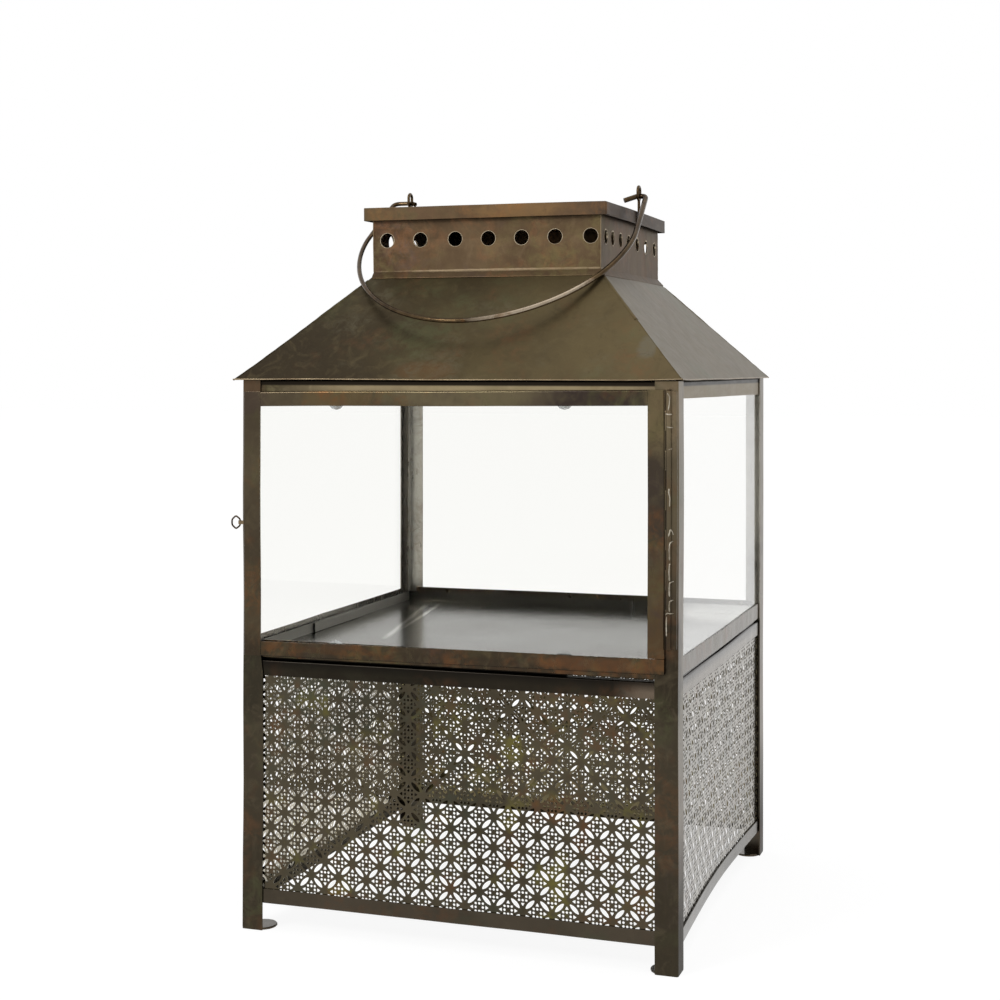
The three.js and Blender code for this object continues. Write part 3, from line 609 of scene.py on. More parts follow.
def mergedCopy(node):
    obj = linked(pieceName(node), nodes[node].data.copy())
    obj.data.materials.clear()
    only(obj)
    bpy.ops.mesh.customdata_custom_splitnormals_clear()
    edited(
        obj,
        lambda: bpy.ops.mesh.remove_doubles(threshold=0.00002),
        lambda: bpy.ops.mesh.dissolve_limited(angle_limit=radians(0.5)),
        normalsOut,
    )
    return obj


def cutAt(obj, axis, places):
    direction = [0, 0, 0]
    direction[axis] = 1

    def cut():
        for place in places:
            point = [0, 0, 0]
            point[axis] = place
            bpy.ops.mesh.select_all(action="SELECT")
            bpy.ops.mesh.bisect(plane_co=point, plane_no=direction)
    edited(obj, cut)


def sliced(obj, axis, spacing):
    low, high = span(obj)
    length = high[axis] - low[axis]
    count = int(length / spacing)
    cutAt(obj, axis, [low[axis] + step * length / (count + 1) for step in range(1, count + 1)])


def warped(obj, strength=handWarp["strength"]):
    modified(
        obj, "DISPLACE", texture=warpTexture, texture_coords="LOCAL",
        direction="RGB_TO_XYZ", strength=strength, mid_level=handWarp["middle"],
    )


def smoothShaded(obj, angle=34):
    only(obj)
    bpy.ops.object.shade_smooth_by_angle(angle=radians(angle))


# Large flat faces keep their flat look beside rounded corners
def evenlyShaded(obj, angle=34):
    smoothShaded(obj, angle)
    modified(obj, "WEIGHTED_NORMAL", mode="FACE_AREA", weight=90, keep_sharp=True)


def reshaped(obj, move):
    for vertex in obj.data.vertices:
        vertex.co = move(vertex.co)
    obj.data.update()


def kept(obj, finish, body, slot, *stoodFor):
    obj.data.materials.clear()
    obj.data.materials.append(finishes[finish])
    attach(obj, body)
    if stoodFor:
        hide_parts(*stoodFor)
    return obj


def keptFor(obj, finish, node):
    return kept(obj, finish, bodyOf[node], slotOf[node], node)


def keptOnBody(obj, finish, slot="bronze_patina"):
    return kept(obj, finish, "lantern_body", slot)


def turned(obj, quarters):
    obj.data.transform(Matrix.Rotation(radians(90 * quarters), 4, "Z"))


def rounded(points, radius, steps):
    points = [Vector(point) for point in points]
    line = [points[0]]
    for before, corner, after in zip(points, points[1:], points[2:]):
        start, end = ((point - corner) for point in (before, after))
        start = corner + start.normalized() * min(radius, start.length / 2)
        end = corner + end.normalized() * min(radius, end.length / 2)
        for step in range(steps + 1):
            share = step / steps
            line.append(start.lerp(corner, share).lerp(corner.lerp(end, share), share))
    return [*line, points[-1]]


# A round wire or bead along points. Widths holds one factor of the radius for each point.
def tube(name, points, radius, closed=False, widths=None, roundness=3):
    data = bpy.data.curves.new(name, "CURVE")
    data.dimensions = "3D"
    data.bevel_depth = radius
    data.bevel_resolution = roundness
    data.use_fill_caps = not closed
    line = data.splines.new("POLY")
    line.points.add(len(points) - 1)
    line.use_cyclic_u = closed
    for index, point in enumerate(points):
        line.points[index].co = (*point, 1)
        line.points[index].radius = widths[index] if widths else 1
    obj = linked(name, data)
    only(obj)
    bpy.ops.object.convert(target="MESH")
    edited(obj, lambda: bpy.ops.mesh.remove_doubles(threshold=0.00001), normalsOut)
    smoothShaded(obj, 60)
    return obj


# A bead of solder or a rolled edge. Bead holds its radius, how uneven it is, and the spacing of its points.
def unevenBead(name, start, end, bead, seed):
    radius, uneven, spacing = bead
    draw = random.Random(seed)
    start, end = Vector(start), Vector(end)
    count = max(2, int((end - start).length / spacing))
    points = [start.lerp(end, step / count) for step in range(count + 1)]
    widths = [1 + uneven * (2 * draw.random() - 1) for _ in points]
    obj = tube(name, points, radius, widths=widths, roundness=2)
    warped(obj)
    return obj


# Folded strips: posts, rails, door frame, tray and glazing strips
stripShape = {"bevel": 0.00035, "topRailBevel": 0.00012, "sliceEvery": 0.04, "zincWarp": 0.0008}
postShape = {
    "bevel": 0.0008, "trimTop": 0.3045, "trimStep": 0.0005, "trimTo": -0.2226, "flangeBack": -0.2405,
    "low": 0.003, "floor": 0.0003,
}
railBow = {"depth": 0.0075, "halfLength": 0.228, "fadeFrom": 0.05, "fadeTo": 0.285}
railTilt = {
    # node: drop of the low and the high end, axis along the rail, height below which it drops
    "base_rail_front": (0, 0.0015, 0, 1.0),
    "base_rail_right": (0.007, 0, 1, 1.0),
    "head_rail_right": (0, 0.003, 1, 0.590),
}
doorSag = {"drop": 0.0038, "hinge": 0.2349, "width": 0.475}
topRail = {"overlap": 0.00026, "endsFrom": 0.21}
stripFinishes = {
    "post": "postPatina", "base_rail": "lowerPatina", "waist_rail": "waistPatina",
    "sill_rail": "doorPatina", "head_rail": "headPatinaWithPaintedLight",
}


def bowedIn(point):
    along = max(0.0, cos(point.y / railBow["halfLength"] * pi / 2))
    fade = (railBow["fadeTo"] - point.z) / (railBow["fadeTo"] - railBow["fadeFrom"])
    return Vector((point.x - railBow["depth"] * along * min(1.0, max(0.0, fade)), point.y, point.z))


def sagged(point):
    reach = (doorSag["hinge"] - point.x) / doorSag["width"]
    return Vector((point.x, point.y, point.z - doorSag["drop"] * reach))


def tilted(node):
    lowDrop, highDrop, axis, below = railTilt[node]

    def move(point):
        if point.z > below:
            return point.copy()
        share = (point[axis] + railBow["halfLength"]) / (2 * railBow["halfLength"])
        return Vector((point.x, point.y, point.z - lowDrop * (1 - share) - highDrop * share))
    return move


def trimmedFlange(point):
    inFlange = point.y < postShape["flangeBack"] and point.x > postShape["trimTo"]
    if inFlange and point.z > postShape["trimTop"]:
        return Vector((postShape["trimTo"], point.y, point.z))
    return point.copy()


# The post's outline reaches the floor beside its foot
def stoodOnFloor(point):
    return Vector((point.x, point.y, postShape["floor"] if point.z < postShape["low"] else point.z))


# The door's top rail reaches over its neighbours
def lengthened(point):
    longer = copysign(topRail["overlap"], point.x) * (abs(point.x) > topRail["endsFrom"])
    return Vector((point.x + longer, point.y, point.z))


def softStrip(node, bevel=stripShape["bevel"]):
    obj = mergedCopy(node)
    low, high = span(obj)
    bevelled(obj, bevel)
    for axis in range(3):
        if high[axis] - low[axis] > 2 * stripShape["sliceEvery"]:
            sliced(obj, axis, stripShape["sliceEvery"])
    evenlyShaded(obj)
    return obj


def warpedAndKept(obj, finish, node):
    warped(obj)
    evenlyShaded(obj)
    keptFor(obj, finish, node)


for group, finish in stripFinishes.items():
    for ending in corners if group == "post" else sides:
        node = f"{group}_{ending}"
        strip = softStrip(node, postShape["bevel"] if group == "post" else stripShape["bevel"])
        if node == "post_front_left":
            cutAt(strip, 2, [postShape["trimTop"], postShape["trimTop"] + postShape["trimStep"]])
            reshaped(strip, trimmedFlange)
        if node == "base_rail_right":
            reshaped(strip, bowedIn)
        if node in railTilt:
            reshaped(strip, tilted(node))
        if group == "post":
            reshaped(strip, stoodOnFloor)
        warpedAndKept(strip, finish, node)
for node in ("door_latch_stile", "door_hinge_stile", "door_bottom_rail", "door_top_rail"):
    strip = softStrip(node, stripShape["topRailBevel"] if node == "door_top_rail" else stripShape["bevel"])
    if node == "door_top_rail":
        reshaped(strip, lengthened)
    reshaped(strip, sagged)
    warpedAndKept(strip, "doorPatina", node)
for node in ("tray", "glazing_strip_right", "glazing_strip_rear", "glazing_strip_left"):
    strip = softStrip(node)
    warped(strip, stripShape["zincWarp"])
    keptFor(strip, "zincSheet", node)
print("folded strips made")

# Feet with an uneven cut edge
footShape = {
    "bevel": 0.0004, "slice": 0.004, "rough": 0.0012, "roughSize": 0.012,
    "inner": 0.2115, "outer": 0.248, "flattened": 0.0044,
}
footTexture = bpy.data.textures.new("cutEdge", "CLOUDS")
footTexture.noise_scale = footShape["roughSize"]
footTexture.cloud_type = "COLOR"


# The outer sides lie level with the post
def flattened(point):
    def drawnIn(value):
        share = (abs(value) - footShape["inner"]) / (footShape["outer"] - footShape["inner"])
        return value - copysign(footShape["flattened"] * share, value)
    return Vector((drawnIn(point.x), drawnIn(point.y), point.z))


for ending in corners:
    foot = softStrip(f"foot_{ending}", footShape["bevel"])
    reshaped(foot, flattened)
    for axis in (0, 1):
        sliced(foot, axis, footShape["slice"])
    before = [vertex.co.z for vertex in foot.data.vertices]
    modified(
        foot, "DISPLACE", texture=footTexture, texture_coords="LOCAL", direction="RGB_TO_XYZ",
        strength=footShape["rough"], mid_level=0.5,
    )
    for vertex, height in zip(foot.data.vertices, before):
        vertex.co.z = height
    evenlyShaded(foot)
    keptFor(foot, "lowerPatina", f"foot_{ending}")
print("feet made")

# Solder that closes the seam between waist and sill rails. At the front it stops short of the hinge side.
waistSeam = {
    "bead": (0.00135, 0.08, 0.008), "z": 0.29725, "start": -0.228,
    "front": (0.125, 0.2345), "other": (0.228, 0.2385),  # end and distance from the middle
}
for turn, ending in enumerate(sides):
    end, out = waistSeam["front" if ending == "front" else "other"]
    low, high = (Vector((x, -out, waistSeam["z"])) for x in (waistSeam["start"], end))
    bead = unevenBead(f"waistSeam{ending.capitalize()}", low, high, waistSeam["bead"], turn)
    turned(bead, turn)
    keptOnBody(bead, "waistPatina")
print("waist seams made")

# Roof sheets, the hems of the eaves and the hips
roofShape = {
    "bevel": 0.0004, "cornerReach": 0.06, "cuts": (0.205, 0.22, 0.235, 0.244),
    "corners": (
        # place, how far it is pulled
        ((-0.2495, -0.2495, 0.6023), (-0.0024, -0.0012, -0.0002)),
        ((0.2495, -0.2495, 0.6023), (0.0, 0.0, 0.0012)),
    ),
}
hemShape = {"bead": (0.0007, 0.12, 0.012), "rise": 0.0006, "seed": 20}
hipShape = {
    "sink": 0.0003, "slope": 1.0197, "rollShare": 0.42, "rollSink": 0.0028,
    "roll": (0.0029, 0.06, 0.006), "seam": (0.0006, 0.25, 0.006), "seed": 30,
}


def cornersPulled(point):
    for corner, pull in roofShape["corners"]:
        share = max(0.0, 1 - (point - Vector(corner)).length / roofShape["cornerReach"])
        point = point + Vector(pull) * share * share
    return point


for ending in sides:
    sheet = softStrip(f"roof_{ending}", roofShape["bevel"])
    for axis in (0, 1):
        cutAt(sheet, axis, [side * place for side in (-1, 1) for place in roofShape["cuts"]])
    reshaped(sheet, cornersPulled)
    warpedAndKept(sheet, "roofPatina", f"roof_{ending}")
roofLow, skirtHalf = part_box("roof_front")[0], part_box("chimney")[1].x
eaveHalf = -roofLow.y
hipTop = roofLow.z + (eaveHalf - skirtHalf) * hipShape["slope"] - hipShape["sink"]
for turn, ending in enumerate(sides):
    z = roofLow.z + hemShape["rise"]
    start, end = (Vector((x, -eaveHalf, z)) for x in (-eaveHalf, eaveHalf))
    hem = unevenBead(f"eaveHem{ending.capitalize()}", start, end, hemShape["bead"], hemShape["seed"] + turn)
    turned(hem, turn)
    reshaped(hem, cornersPulled)
    # The hem's pale colour is a painted highlight along the eave's lower edge.
    keptOnBody(hem, "edgeWearAndPaintedHighlight")
for index, (sideX, sideY) in enumerate(cornerSides):
    low = Vector((sideX * eaveHalf, sideY * eaveHalf, roofLow.z - hipShape["sink"]))
    high = Vector((sideX * skirtHalf, sideY * skirtHalf, hipTop))
    middle = high.lerp(low, hipShape["rollShare"])
    down = Vector((0, 0, hipShape["rollSink"]))
    for name, start, end in (("roll", high - down, middle - down), ("seam", middle, low)):
        pieceTitle = f"hip{name.capitalize()}{index + 1}"
        bead = unevenBead(pieceTitle, start, end, hipShape[name], hipShape["seed"] + index)
        reshaped(bead, cornersPulled)
        keptOnBody(bead, "roofPatina")
print("roof made")

# Perforated panels
panelShape = {
    "pitch": 0.0321, "shiftAcross": -0.0023, "shiftUp": -0.0016, "columns": 17, "rows": 11,
    "edge": 0.001, "thickness": 0.0004, "edgeSteps": 12,
    "petalLength": 0.0136, "petalWidth": 0.0047, "petalSides": 12, "petalPoint": 0.3,
    "dotRadius": 0.00147, "dotPitch": 0.0040, "dotSides": 6,
    "wedgeOut": 0.0081, "wedgeSize": 0.0023, "wedgeBack": 0.00135,
}


def petalPoints(x, y, rising, look):
    turn = pi / 4 if rising else -pi / 4
    points = []
    for side in range(look["petalSides"]):
        angle = 2 * pi * side / look["petalSides"]
        along = look["petalLength"] / 2 * cos(angle)
        aside = look["petalWidth"] / 2 * sin(angle) * abs(sin(angle)) ** look["petalPoint"]
        points.append((
            x + along * cos(turn) - aside * sin(turn),
            y + along * sin(turn) + aside * cos(turn),
        ))
    return points


def dotPoints(x, y, radius, count):
    turns = [2 * pi * step / count for step in range(count)]
    return [(x + radius * cos(turn), y + radius * sin(turn)) for turn in turns]


def wedgePoints(x, y, turn, look):
    points = []
    for step in range(6):
        angle = turn + step * pi / 3
        reach = look["wedgeBack"] if step % 2 else look["wedgeSize"]
        points.append((x + reach * cos(angle), y + reach * sin(angle)))
    return points


def cellHoles(x, y, look):
    for across in (-1, 0, 1):
        for up in (-1, 0, 1):
            if across or up:
                dotX, dotY = x + across * look["dotPitch"], y + up * look["dotPitch"]
                yield dotPoints(dotX, dotY, look["dotRadius"], look["dotSides"])
    for quarter in range(4):
        turn = quarter * pi / 2
        wedgeX, wedgeY = x + look["wedgeOut"] * cos(turn), y + look["wedgeOut"] * sin(turn)
        yield wedgePoints(wedgeX, wedgeY, turn, look)


def panelHoles(look):
    step = look["pitch"] / 2
    for column in range(-look["columns"], look["columns"] + 1):
        for row in range(-look["rows"], look["rows"] + 1):
            x, y = column * step + look["shiftAcross"], row * step + look["shiftUp"]
            rising = (column + row) % 2 == 0
            yield petalPoints(x + step / 2, y + step / 2, rising, look)
            if not rising:
                yield from cellHoles(x, y, look)


# A flat sheet with holes, as a filled curve that is made a mesh
def perforatedPanel(width, height, look):
    data = bpy.data.curves.new("perforatedPanel", "CURVE")
    data.dimensions = "2D"
    data.fill_mode = "BOTH"

    def addLoop(points):
        loop = data.splines.new("POLY")
        loop.points.add(len(points) - 1)
        loop.points.foreach_set("co", [value for x, y in points for value in (x, y, 0, 1)])
        loop.use_cyclic_u = True

    right, top = width / 2, height / 2
    corner = [(-right, -top), (right, -top), (right, top), (-right, top)]
    steps = [step / look["edgeSteps"] for step in range(look["edgeSteps"])]
    addLoop([
        (startX + (endX - startX) * share, startY + (endY - startY) * share)
        for (startX, startY), (endX, endY) in zip(corner, corner[1:] + corner[:1]) for share in steps
    ])
    limitX, limitY = right - look["edge"], top - look["edge"]
    for points in panelHoles(look):
        if all(abs(x) < limitX and abs(y) < limitY for x, y in points):
            addLoop(points)
    obj = linked("perforatedPanel", data)
    only(obj)
    bpy.ops.object.convert(target="MESH")
    edited(
        obj,
        lambda: bpy.ops.mesh.remove_doubles(threshold=0.00001),
        lambda: bpy.ops.mesh.beautify_fill(angle_limit=pi),
        normalsOut,
    )
    return obj


panelLow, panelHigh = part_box("grille_front")
panel = perforatedPanel(panelHigh.x - panelLow.x, panelHigh.z - panelLow.z, panelShape)
panelMiddle = (panelLow + panelHigh) / 2
for turn, ending in enumerate(sides):
    sheet = linked(pieceName(f"grille_{ending}"), panel.data.copy())
    stand = Matrix.Translation((0, panelMiddle.y, panelMiddle.z)) @ Matrix.Rotation(radians(90), 4, "X")
    sheet.data.transform(Matrix.Rotation(radians(90 * turn), 4, "Z") @ stand)
    if ending == "right":
        reshaped(sheet, bowedIn)
    warped(sheet)
    modified(sheet, "SOLIDIFY", thickness=panelShape["thickness"], offset=0)
    smoothShaded(sheet)
    keptFor(sheet, "panelPatina", f"grille_{ending}")
bpy.data.objects.remove(panel)
print("perforated panels made")

# Chimney with its vents, and the folded cap. Both are pulled a little to the left at the front.
chimneyShape = {
    "wall": 0.001, "half": 0.1327, "skirt": 0.0713, "cornerBevel": 0.001, "slice": 0.012, "pull": 0.0026,
    "skirtIn": 0.005, "seam": (0.0005, 0.2, 0.006), "seamIn": 0.0002, "seamBelowTop": 0.002, "seed": 50,
}
ventShape = {
    "radius": 0.0086, "sides": 36, "z": 0.7597, "pitch": 0.0396, "count": 7,
    "front": (-0.1155, -0.0756, -0.0342, 0.0045, 0.0429, 0.0812, 0.1213),
    "right": (-0.1123, -0.0828, -0.0482, -0.0111, 0.0285, 0.0700, 0.1134),
    "left": (-0.1228, -0.0828, -0.0482, -0.0111, 0.0285, 0.0700, 0.1134),
    "rimThick": 0.0005, "rimDeep": 0.0018, "rimProud": 0.0003, "rimLap": 0.0001, "rimBevel": 0.00008,
    "drillDepth": 0.02,
}
capShape = {
    "wall": 0.001, "cornerBevel": 0.0014, "pull": 0.0034, "slice": 0.02,
    "folds": 3, "foldWidth": 0.012, "foldThick": 0.0011, "foldSkew": 0.0016, "foldNarrower": 0.0008,
    "foldShorter": 0.001, "foldBevel": 0.00025, "foldSlice": 0.006, "skewAbove": 0.002, "skewBelow": 0.005,
}


def pulledLeft(half, pull):
    def move(point):
        left = (half - point.x) / (2 * half)
        front = max(0.0, min(1.0, -point.y / half))
        return Vector((point.x - pull * left * front, point.y, point.z))
    return move


def selectFaces(obj, wanted):
    bpy.ops.mesh.select_mode(type="FACE")
    bpy.ops.mesh.select_all(action="DESELECT")
    bpy.ops.object.mode_set(mode="OBJECT")
    for face in obj.data.polygons:
        face.select = wanted(face)
    bpy.ops.object.mode_set(mode="EDIT")


def squareShell(name, half, top, bottom, lidded):
    obj = primitive("plane", size=2 * half, location=(0, 0, top))
    obj.name = name

    def walls():
        bpy.ops.mesh.select_mode(type="EDGE")
        bpy.ops.mesh.select_all(action="SELECT")
        bpy.ops.mesh.extrude_edges_move(TRANSFORM_OT_translate={"value": (0, 0, bottom - top)})
        if not lidded:
            selectFaces(obj, lambda face: face.normal.z ** 2 > 0.5)
            bpy.ops.mesh.delete(type="FACE")
    edited(obj, walls)
    return obj


def walled(obj, look):
    modified(obj, "SOLIDIFY", thickness=look["wall"], offset=-1, use_even_offset=True)
    bevelled(obj, look["cornerBevel"], 3, 60)


# x, y and quarter turn of each vent, on walls that stand this far out
def ventPlaces(out):
    middle = (ventShape["count"] - 1) / 2
    for hole in range(ventShape["count"]):
        yield ventShape["front"][hole], -out, 0
        yield (hole - middle) * ventShape["pitch"], out, 0
        yield out, ventShape["right"][hole], 1
        yield -out, ventShape["left"][hole], 1


def roundPieces(radius, depth, out, fill):
    return [
        primitive(
            "cylinder", vertices=ventShape["sides"], radius=radius, depth=depth, end_fill_type=fill,
            rotation=(radians(90), 0, radians(90 * turn)), location=(x, y, ventShape["z"]),
        )
        for x, y, turn in ventPlaces(out)
    ]


def drilled(obj):
    drills = roundPieces(ventShape["radius"], ventShape["drillDepth"], chimneyShape["half"], "NGON")
    drill = joined("drill", *drills)
    modified(obj, "BOOLEAN", object=drill, operation="DIFFERENCE", solver="EXACT")
    bpy.data.objects.remove(drill)


# Thin rims pressed into the vents; their pale colour is a painted highlight where the rims catch the light
def ventRims():
    out = chimneyShape["half"] + ventShape["rimProud"] - ventShape["rimDeep"] / 2
    rims = roundPieces(ventShape["radius"] + ventShape["rimLap"], ventShape["rimDeep"], out, "NOTHING")
    for rim in rims:
        modified(rim, "SOLIDIFY", thickness=ventShape["rimThick"], offset=-1)
        bevelled(rim, ventShape["rimBevel"], 1)
    return joined("ventRims", *rims)


def makeChimney(look):
    low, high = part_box("chimney")
    crease = high.z - look["skirt"]
    obj = squareShell("chimneySkin", look["half"], high.z, crease, False)

    def skirt():
        bpy.ops.mesh.select_mode(type="EDGE")
        bpy.ops.mesh.select_all(action="DESELECT")
        bpy.ops.object.mode_set(mode="OBJECT")
        for edge in obj.data.edges:
            edge.select = max(obj.data.vertices[index].co.z for index in edge.vertices) < crease + 0.001
        bpy.ops.object.mode_set(mode="EDIT")
        bpy.ops.mesh.extrude_edges_move(TRANSFORM_OT_translate={"value": (0, 0, low.z - crease)})
        grow = high.x / look["half"]
        bpy.ops.transform.resize(value=(grow, grow, 1), center_override=(0, 0, crease))
    edited(obj, skirt)
    edited(obj, normalsOut)
    walled(obj, look)
    drilled(obj)
    sliced(obj, 2, look["slice"])

    # The front left corner of the skirt hardly flares
    def skirtDrawnIn(point):
        below = max(0.0, (crease - point.z) / (crease - low.z))
        left, front = max(0.0, -point.x / look["half"]), max(0.0, -point.y / look["half"])
        return Vector((point.x + look["skirtIn"] * below * left * front, point.y, point.z))
    reshaped(obj, skirtDrawnIn)
    rims = ventRims()
    for piece, angle in ((obj, 30), (rims, 40)):
        reshaped(piece, pulledLeft(look["half"], look["pull"]))
        warped(piece)
        evenlyShaded(piece, angle)
    keptFor(obj, "chimneyPatina", "chimney")
    keptOnBody(rims, "rimPatinaAndPaintedHighlight", "pale_bronze_patina")
    for index, (sideX, sideY) in enumerate(cornerSides):
        x, y = sideX * (look["half"] - look["seamIn"]), sideY * look["half"]
        start, end = (x, y, crease), (x, y, high.z - look["seamBelowTop"])
        seam = unevenBead(f"chimneySeam{index + 1}", start, end, look["seam"], look["seed"] + index)
        reshaped(seam, pulledLeft(look["half"], look["pull"]))
        # The seams' pale colour is a painted highlight along the corner folds.
        keptOnBody(seam, "edgeWearAndPaintedHighlight", "pale_bronze_patina")


def makeCap(look):
    low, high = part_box("cap")
    half = high.x
    obj = squareShell("capSkin", half, high.z, low.z, True)
    edited(obj, normalsOut)
    walled(obj, look)
    for axis in (0, 1):
        sliced(obj, axis, look["slice"])
    inner = -half + look["foldWidth"]

    def skewed(point):
        atCorner = point.y > inner - look["skewAbove"] and point.z < low.z + look["skewBelow"]
        return Vector((point.x, point.y + look["foldSkew"] * atCorner, point.z))

    folds = []
    for corner in range(look["folds"]):
        fold = primitive(
            "cube", size=1, location=(half, inner - look["foldWidth"] / 2, (high.z + low.z) / 2),
            scale=(
                2 * look["foldThick"], look["foldWidth"] - look["foldNarrower"],
                high.z - low.z - look["foldShorter"],
            ),
        )
        fold.name = f"capFold{corner + 1}"
        reshaped(fold, skewed)
        bevelled(fold, look["foldBevel"])
        turned(fold, corner)
        sliced(fold, 2, look["foldSlice"])
        folds.append(fold)
    for piece in (obj, *folds):
        reshaped(piece, pulledLeft(half, look["pull"]))
        warped(piece)
        evenlyShaded(piece, 30)
    keptFor(obj, "capPatina", "cap")
    for fold in folds:
        keptOnBody(fold, "capPatina", "pale_bronze_patina")


makeChimney(chimneyShape)
makeCap(capShape)
print("chimney and cap made")

# Wires: bail, eyes and latch loop
bailShape = {
    "radius": 0.00265, "rightGrowth": 0.18, "pivot": 0.8140, "dip": 34.25, "shift": -0.006,
    "endHalf": 0.1573, "bowHalf": 0.162, "leg": 0.0872, "bow": 0.1764, "fullness": 1.03, "bowSteps": 90,
    "hook": 0.008, "hookSteps": 6, "tailStart": 0.0025,
    "ends": (
        # side, reach past the eye, tip length, tip droop
        (1, 0.0091, 0.013, 0.009),
        (-1, 0.0211, 0.005, 0.003),
    ),
}
eyeShape = {
    "radius": 0.0017, "x": 0.1422, "linkZ": 0.8175, "bend": 0.0054, "straight": 0.0024, "steps": 28,
    "shankLow": 0.7838, "shankHigh": 0.8097,
}
latchShape = {
    "radius": 0.00095, "pivot": (-0.2454, -0.2469, 0.446), "corner": 0.0018, "cornerSteps": 4,
    "lower": ((0, -0.0003), (0, -0.00355), (0.005, -0.0072), (0.0098, -0.003)),
}


def bailEnd(look, reach, tipLength, tipDroop):
    tail = look["endHalf"] - reach - look["tailStart"]
    hook = ((tail, 0), (look["endHalf"], 0), (look["endHalf"], look["leg"]))
    line = [tuple(point) for point in rounded(hook, look["hook"], look["hookSteps"])]
    middle = ((look["endHalf"] + look["bowHalf"]) / 2, look["leg"] / 2)
    return [(tail - tipLength, tipDroop), *line[:-1], middle]


def bailLine(look):
    (_, *rightEnd), (_, *leftEnd) = look["ends"]
    flat = bailEnd(look, *rightEnd)
    for step in range(look["bowSteps"] + 1):
        angle = pi * step / look["bowSteps"]
        across = copysign(abs(cos(angle)) ** look["fullness"], cos(angle))
        out = abs(sin(angle)) ** look["fullness"]
        flat.append((look["bowHalf"] * across, look["leg"] + look["bow"] * out))
    flat += [(-across, out) for across, out in reversed(bailEnd(look, *leftEnd))]
    dip = radians(look["dip"])
    return [
        (across + look["shift"], -out * cos(dip), look["pivot"] - out * sin(dip))
        for across, out in flat
    ]


bailPoints = bailLine(bailShape)
bailWidths = [1 + bailShape["rightGrowth"] * max(0, point[0] / bailShape["bowHalf"]) for point in bailPoints]
bailWire = tube(pieceName("bail"), bailPoints, bailShape["radius"], widths=bailWidths)
keptFor(bailWire, "wirePatina", "bail")
for ending, x in (("left", -eyeShape["x"]), ("right", eyeShape["x"])):
    ring = []
    for step in range(eyeShape["steps"]):
        angle = 2 * pi * (step + 0.5) / eyeShape["steps"]
        rise = copysign(eyeShape["straight"], sin(angle)) + eyeShape["bend"] * sin(angle)
        ring.append((x, eyeShape["bend"] * cos(angle), eyeShape["linkZ"] + rise))
    link = tube("link", ring, eyeShape["radius"], closed=True)
    shank = tube("shank", [(x, 0, eyeShape["shankLow"]), (x, 0, eyeShape["shankHigh"])], eyeShape["radius"])
    eye = joined(pieceName(f"eye_{ending}"), link, shank)
    keptFor(eye, "wirePatina", f"eye_{ending}")
pivotX, pivotY, pivotZ = latchShape["pivot"]
fan = [*latchShape["lower"], *[(out, -up) for out, up in reversed(latchShape["lower"])]]
fan = rounded(fan, latchShape["corner"], latchShape["cornerSteps"])
latchLine = [(pivotX - point[0], pivotY, pivotZ + point[1]) for point in fan]
latchWire = tube(pieceName("latch_loop"), latchLine, latchShape["radius"])
keptFor(latchWire, "wirePatina", "latch_loop")
print("wires made")

# Hinge with its solder, latch knuckle and stud, door clips
hingeShape = {
    "voxel": 0.0006, "low": 0.3312, "high": 0.5920,
    "sleeve": (0.2349, -0.2486), "sleeveBead": (0.0029, 0.03, 0.006),
    "fillet": (0.2376, -0.2470), "filletBead": (0.001, 0.3, 0.004),
    "plate": ((0.2362, 0.2431), (-0.2475, -0.2438)), "plateBevel": 0.001, "plateSlice": 0.03,
    "line": (0.0007, 0.3, 1.2), "lineEnd": 0.4, "lineCorner": 1.2, "pinBevel": 0.0003,
    "lines": (
        # across and height of each run of solder, in millimetres
        ((236.4, 421.5), (236.0, 432), (236.6, 438.6), (238.6, 440.6), (240.8, 440.2)),
        ((236.3, 400.6), (235.9, 410), (236.3, 417.6), (238.4, 418.4)),
        ((236.3, 385), (236.0, 392), (236.4, 398.6), (239, 400), (242.0, 399.8)),
        ((236.4, 369.5), (236.0, 375), (236.4, 380), (238.8, 381.2), (241.4, 381)),
        ((232.6, 366.5), (234, 368.4), (238, 367.6), (242.4, 368.2)),
        ((236.4, 475.5), (236.8, 484), (235.6, 490), (236.3, 495)),
        ((235.4, 445.5), (237.4, 453), (239.0, 449), (239.8, 444.6)),
        ((233.4, 345), (233.2, 356), (233.6, 366)),
        ((234.2, 590), (236.6, 586), (236.2, 578), (234.8, 571)),
        ((232.4, 569), (236, 568.2), (240.4, 569)),
        ((233.6, 556), (237, 555), (241.5, 555.6)),
        ((234.8, 532.6), (237.8, 533.6), (241.2, 534.4)),
    ),
    "depth": ((231, -0.2510), (235, -0.2514), (237, -0.2508), (239.5, -0.2468), (250, -0.2462)),
    "seed": 11, "filletSeed": 51,
}
smoothing = {"factor": 0.5, "iterations": 2}


def remeshed(node, voxel):
    obj = mergedCopy(node)
    modified(obj, "REMESH", mode="VOXEL", voxel_size=voxel)
    modified(obj, "SMOOTH", **smoothing)
    smoothShaded(obj, 60)
    return obj


# How far forward the solder lies, for a place across the hinge in millimetres
def hingeFace(across, depth):
    for (fromX, fromY), (toX, toY) in zip(depth, depth[1:]):
        if fromX <= across <= toX:
            return fromY + (toY - fromY) * (across - fromX) / (toX - fromX)
    return depth[0][1]


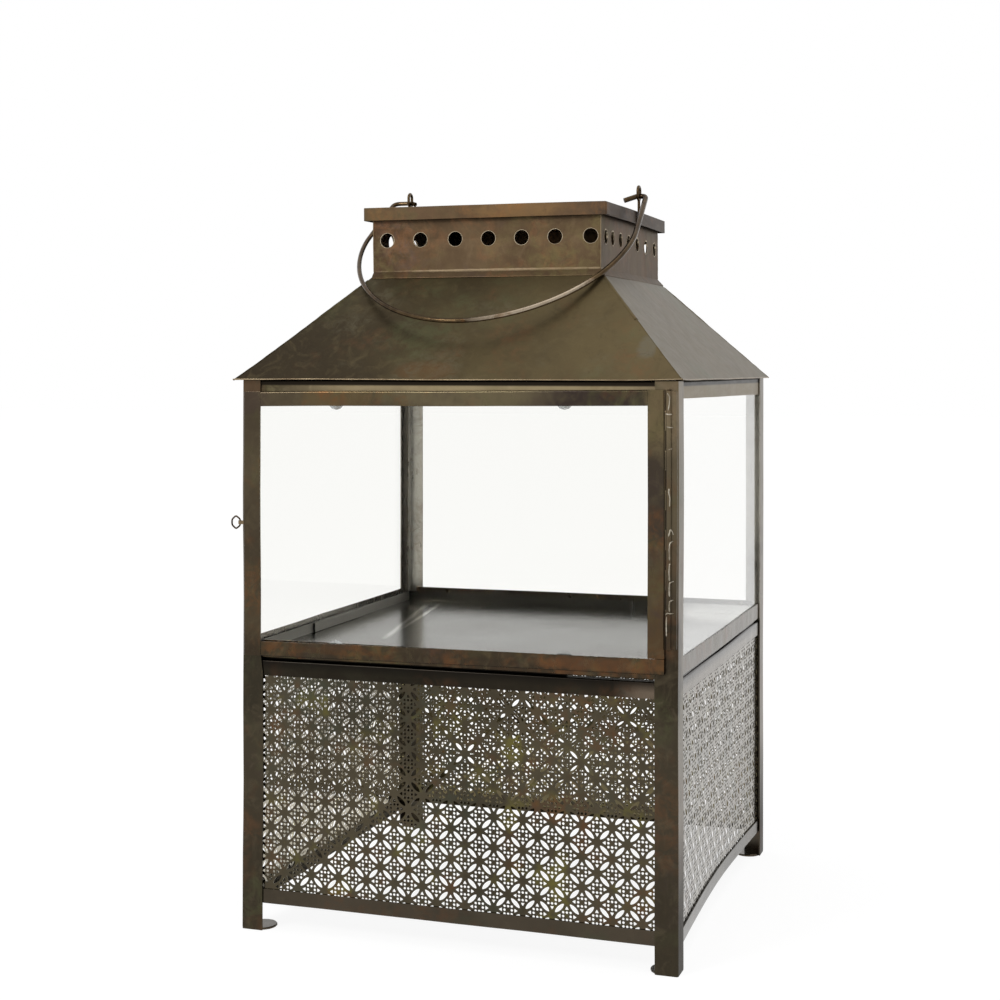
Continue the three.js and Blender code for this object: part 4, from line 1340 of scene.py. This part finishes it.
def solderLine(run, look, seed):
    draw = random.Random(seed)
    radius, uneven, spacing = look["line"]  # the spacing is in millimetres, as the runs are
    points, widths = [], []
    path = rounded([(*point, 0) for point in run], look["lineCorner"], 4)
    for start, end in zip(path, path[1:]):
        count = max(1, int((end - start).length / spacing))
        for step in range(count):
            flat = start.lerp(end, step / count)
            points.append((flat.x / 1000, hingeFace(flat.x, look["depth"]), flat.y / 1000))
            widths.append(1 + uneven * (2 * draw.random() - 1))
    widths[0] = widths[-1] = look["lineEnd"]
    return tube("line", points, radius, widths=widths, roundness=2)


def makeHinge(look):
    for node in ("hinge_post_leaf", "hinge_door_leaf"):
        keptFor(remeshed(node, look["voxel"]), "postPatina", node)
    # The sleeve of solder round the pin turns with the door
    for name, body, seed in (("sleeve", "door", "seed"), ("fillet", "lantern_body", "filletSeed")):
        low, high = ((*look[name], look[key]) for key in ("low", "high"))
        bead = unevenBead(f"hinge{name.capitalize()}", low, high, look[f"{name}Bead"], look[seed])
        kept(bead, "postPatina", body, "bronze_patina")
    (fromX, toX), (fromY, toY) = look["plate"]
    length = look["high"] - look["low"]
    place = ((fromX + toX) / 2, (fromY + toY) / 2, look["low"] + length / 2)
    plate = primitive("cube", size=1, location=place, scale=(toX - fromX, toY - fromY, length))
    plate.name = "hingePlate"
    bevelled(plate, look["plateBevel"], 3)
    sliced(plate, 2, look["plateSlice"])
    warped(plate)
    evenlyShaded(plate)
    keptOnBody(plate, "postPatina")
    keptFor(softStrip("hinge_pin", look["pinBevel"]), "wirePatina", "hinge_pin")
    lines = [solderLine(run, look, look["seed"] + index) for index, run in enumerate(look["lines"])]
    keptOnBody(joined("hingeSolder", *lines), "solderPatina", "soldered_bronze")


makeHinge(hingeShape)
smallParts = {"knuckleVoxel": 0.0003, "bevel": 0.0002}
keptFor(remeshed("latch_knuckle", smallParts["knuckleVoxel"]), "edgeWearAndPaintedHighlight", "latch_knuckle")
keptFor(softStrip("latch_stud", smallParts["bevel"]), "wirePatina", "latch_stud")
for place in ("top_left", "top_right", "bottom_left", "bottom_right"):
    clip = softStrip(f"door_clip_{place}", smallParts["bevel"])
    reshaped(clip, sagged)
    keptFor(clip, "clipPatina", f"door_clip_{place}")
print("hinge, latch and clips made")

# Glass
for node in ("pane_left", "pane_rear", "pane_right", "door_pane"):
    nodes[node].data.materials.clear()
    nodes[node].data.materials.append(finishes["rightGlass" if node == "pane_right" else "clearGlass"])
print("glass set")
